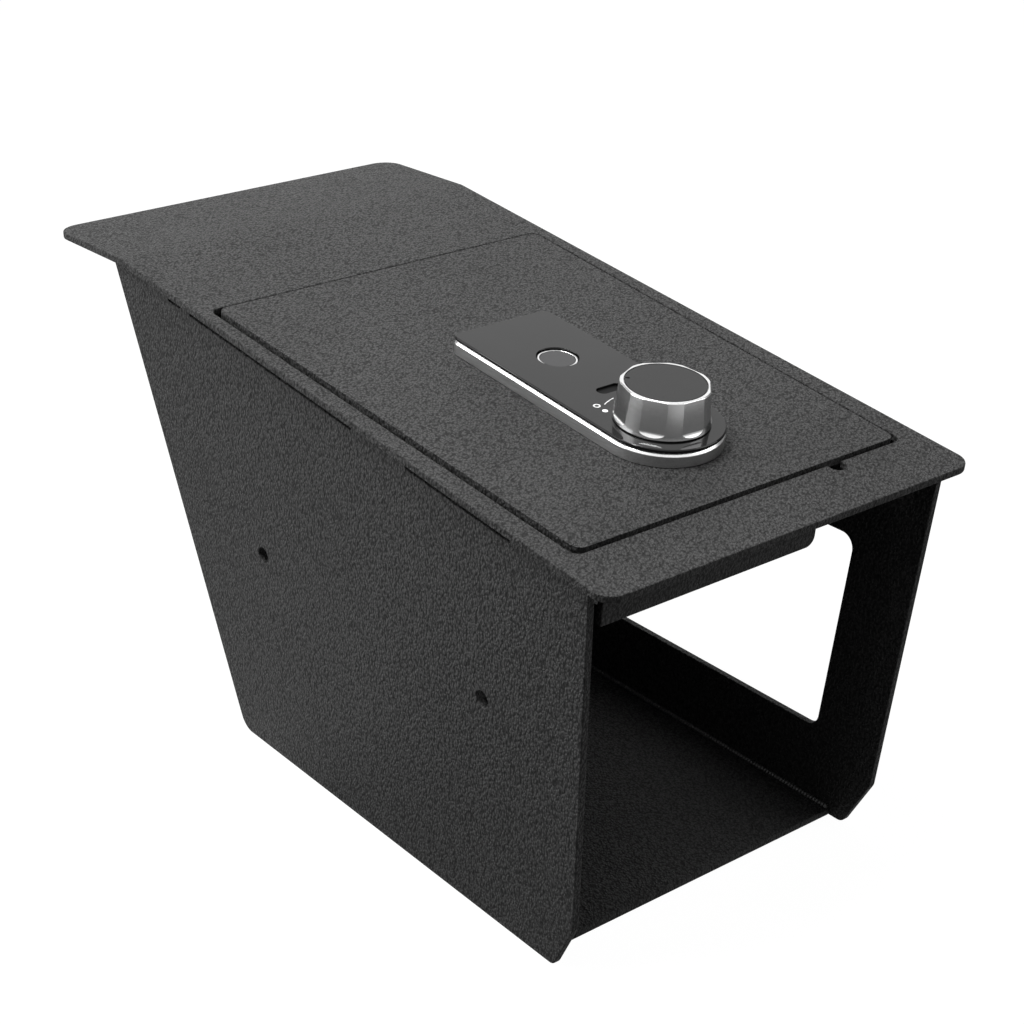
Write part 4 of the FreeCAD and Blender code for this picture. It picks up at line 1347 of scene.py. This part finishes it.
@dataclass
class Studio:
    """Pale floor, white surroundings, soft lamps and the camera."""

    floor_size: float = 12.0
    surround: float = 0.09
    plain_sky: float = 1.05
    back_sky: float = 0.25
    front_sky: float = 1.1
    front: Triple = (-0.766, -0.643, 0.0)
    floor_grey: float = 0.06
    floor_white: float = 0.985
    floor_shine: float = 0.2
    floor_plain: float = 0.25
    cards: tuple[tuple[float, float], ...] = (
        (-180, 0.5), (-162, 0.22), (-120, 0.35), (-85, 0.85), (-59, 0.9), (-30, 0.3),
        (-8, 0.1), (35, 0.4), (95, 1.5), (146, 3.2), (180, 0.5))
    lamps: tuple[Softbox, ...] = (Softbox("key_softbox", (-0.40, 0.10, 1.3), 0.15, 0.6, 20.0),
                                  Softbox("back_softbox", (0.62, 0.66, 0.8), 0.18, 1.2, 4.0),
                                  Softbox("side_softbox", (-1.15, 0.75, 0.8), 0.1, 1.0, 11.5),
                                  Softbox("front_softbox", (1.2, -1.0, 0.9), 0.1, 1.0, 5.0))
    lens: float = 74.43
    film_width: float = 36.0
    clip: tuple[float, float] = (0.01, 50.0)
    stand: Triple = (-0.49222, -0.63767, 0.48801)
    azimuth: float = 38.75
    elevation: float = 25.24
    roll: float = 0.39

    def build(self) -> None:
        """Set up the floor, the world, the lamps and the camera."""
        self.floor()
        self.world()
        for lamp in self.lamps:
            self.hang(lamp)
        self.camera()

    @staticmethod
    def seen_directly(bench: Bench) -> bpy.types.NodeSocket:
        """Tell what the camera sees, also in metal and through glass, from light that spreads.

        Args:
            bench: the material's bench.

        Returns:
            A socket with 1 for the first and 0 for the second.
        """
        path = bench.add("ShaderNodeLightPath")
        seen = bench.math("MAXIMUM", path.outputs["Is Camera Ray"], path.outputs["Is Glossy Ray"])
        return bench.math("MAXIMUM", seen, path.outputs["Is Transmission Ray"])

    def around(self, bench: Bench, where: bpy.types.NodeSocket) -> bpy.types.NodeSocket:
        """Brightness of the surroundings by bearing, as shiny parts see them.

        Args:
            bench: the material's bench.
            where: a direction or a place on the floor.

        Returns:
            The brightness socket.
        """
        bearing = bench.add("ShaderNodeTexGradient", {"Vector": where}, gradient_type="RADIAL").outputs["Fac"]
        ramp = bench.add("ShaderNodeValToRGB", {"Fac": bearing})
        stops = ramp.color_ramp.elements
        for degrees, level in self.cards[1:-1]:
            stops.new((degrees + 180) / 360).color = (level, level, level, 1)
        for stop, (degrees, level) in ((stops[0], self.cards[0]), (stops[-1], self.cards[-1])):
            stop.color = (level, level, level, 1)
        return ramp.outputs["Color"]

    def floor(self) -> None:
        """White floor that keeps a soft shadow under the box."""
        clear_choice()
        bpy.ops.mesh.primitive_plane_add(size=self.floor_size, location=(0, 0, 0))
        ground = fresh()
        ground.name = "studio_floor"
        made = bpy.data.materials.new("studio_white")
        made.use_nodes = True
        bench = Bench(made.node_tree)
        matt = bench.add("ShaderNodeBsdfDiffuse", {"Color": (*grey(self.floor_grey), 1)})
        path = bench.add("ShaderNodeLightPath")
        shine = bench.math("MULTIPLY", self.around(bench, bench.place()), self.floor_shine)
        shine = bench.math("ADD", shine, self.floor_plain)
        level = bench.between(path.outputs["Is Glossy Ray"], self.floor_white, shine)
        light = bench.add("ShaderNodeEmission", {"Color": (1, 1, 1, 1), "Strength": level})
        both = bench.add("ShaderNodeAddShader", {0: matt.outputs[0], 1: light.outputs[0]})
        pick = bench.add("ShaderNodeMixShader", {0: self.seen_directly(bench), 1: matt.outputs[0],
                                                 2: both.outputs[0]})
        bench.surface("ShaderNodeOutputMaterial", pick.outputs[0])
        ground.data.materials.append(made)

    def world(self) -> None:
        """White surroundings for the eye, softer ones for the light they give."""
        world = bpy.data.worlds.new("studio_surround")
        bpy.context.scene.world = world
        world.use_nodes = True
        bench = Bench(world.node_tree)
        soft = bench.add("ShaderNodeBackground", {"Color": (1, 1, 1, 1), "Strength": self.surround})
        heading = bench.add("ShaderNodeTexCoord").outputs["Generated"]
        height = bench.add("ShaderNodeSeparateXYZ", {"Vector": heading}).outputs["Z"]
        ahead = bench.add("ShaderNodeVectorMath", {0: heading, 1: self.front},
                          operation="DOT_PRODUCT").outputs["Value"]
        high = bench.remap(ahead, -0.4, -0.15, self.back_sky, self.front_sky)
        share = bench.remap(height, 0.03, 0.26, 0.0, 1.0)
        glossy = bench.add("ShaderNodeLightPath").outputs["Is Glossy Ray"]
        grade = bench.between(share, self.around(bench, heading), high)
        level = bench.between(glossy, self.plain_sky, grade)
        white = bench.add("ShaderNodeBackground", {"Color": (1, 1, 1, 1), "Strength": level})
        pick = bench.add("ShaderNodeMixShader", {0: self.seen_directly(bench), 1: soft.outputs[0],
                                                 2: white.outputs[0]})
        bench.surface("ShaderNodeOutputWorld", pick.outputs[0])

    @staticmethod
    def hang(lamp: Softbox) -> None:
        """Put a lamp in the scene.

        Args:
            lamp: the lamp.
        """
        data = bpy.data.lights.new(lamp.name, "AREA")
        data.shape = "SQUARE"
        data.size = lamp.size
        data.energy = lamp.power
        item = bpy.data.objects.new(lamp.name, data)
        bpy.context.scene.collection.objects.link(item)
        item.location = lamp.stand
        aim = Vector((0, 0, lamp.faces)) - Vector(lamp.stand)
        item.rotation_euler = aim.to_track_quat("-Z", "Y").to_euler()

    def camera(self) -> None:
        """Camera that sees the box from its front left and a little above."""
        data = bpy.data.cameras.new("view")
        data.lens = self.lens
        data.sensor_width = self.film_width
        data.clip_start, data.clip_end = self.clip
        item = bpy.data.objects.new("view", data)
        bpy.context.scene.collection.objects.link(item)
        az, el = math.radians(self.azimuth), math.radians(self.elevation)
        ahead = Vector((math.sin(az) * math.cos(el), math.cos(az) * math.cos(el), -math.sin(el)))
        level = ahead.to_track_quat("-Z", "Y").to_matrix().to_4x4()
        tilt = Matrix.Rotation(math.radians(self.roll), 4, "Z")
        item.matrix_world = Matrix.Translation(self.stand) @ level @ tilt
        bpy.context.scene.camera = item
        bpy.context.scene.view_settings.view_transform = "Standard"


def main() -> None:
    """Build every sub-assembly in order, then the studio, and write the two size boxes."""
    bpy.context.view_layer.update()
    for part in (WeldedBox(), LidHinge(), Lid(), LockPanel(), Knob(), BoltWork(), LockCover(), BatteryPack()):
        log.info("building %s: %s", type(part).__name__, type(part).__doc__)
        part.build()
    Studio().build()


if __name__ == "__main__":
    logging.basicConfig(level=logging.INFO, format="%(message)s")
    main()
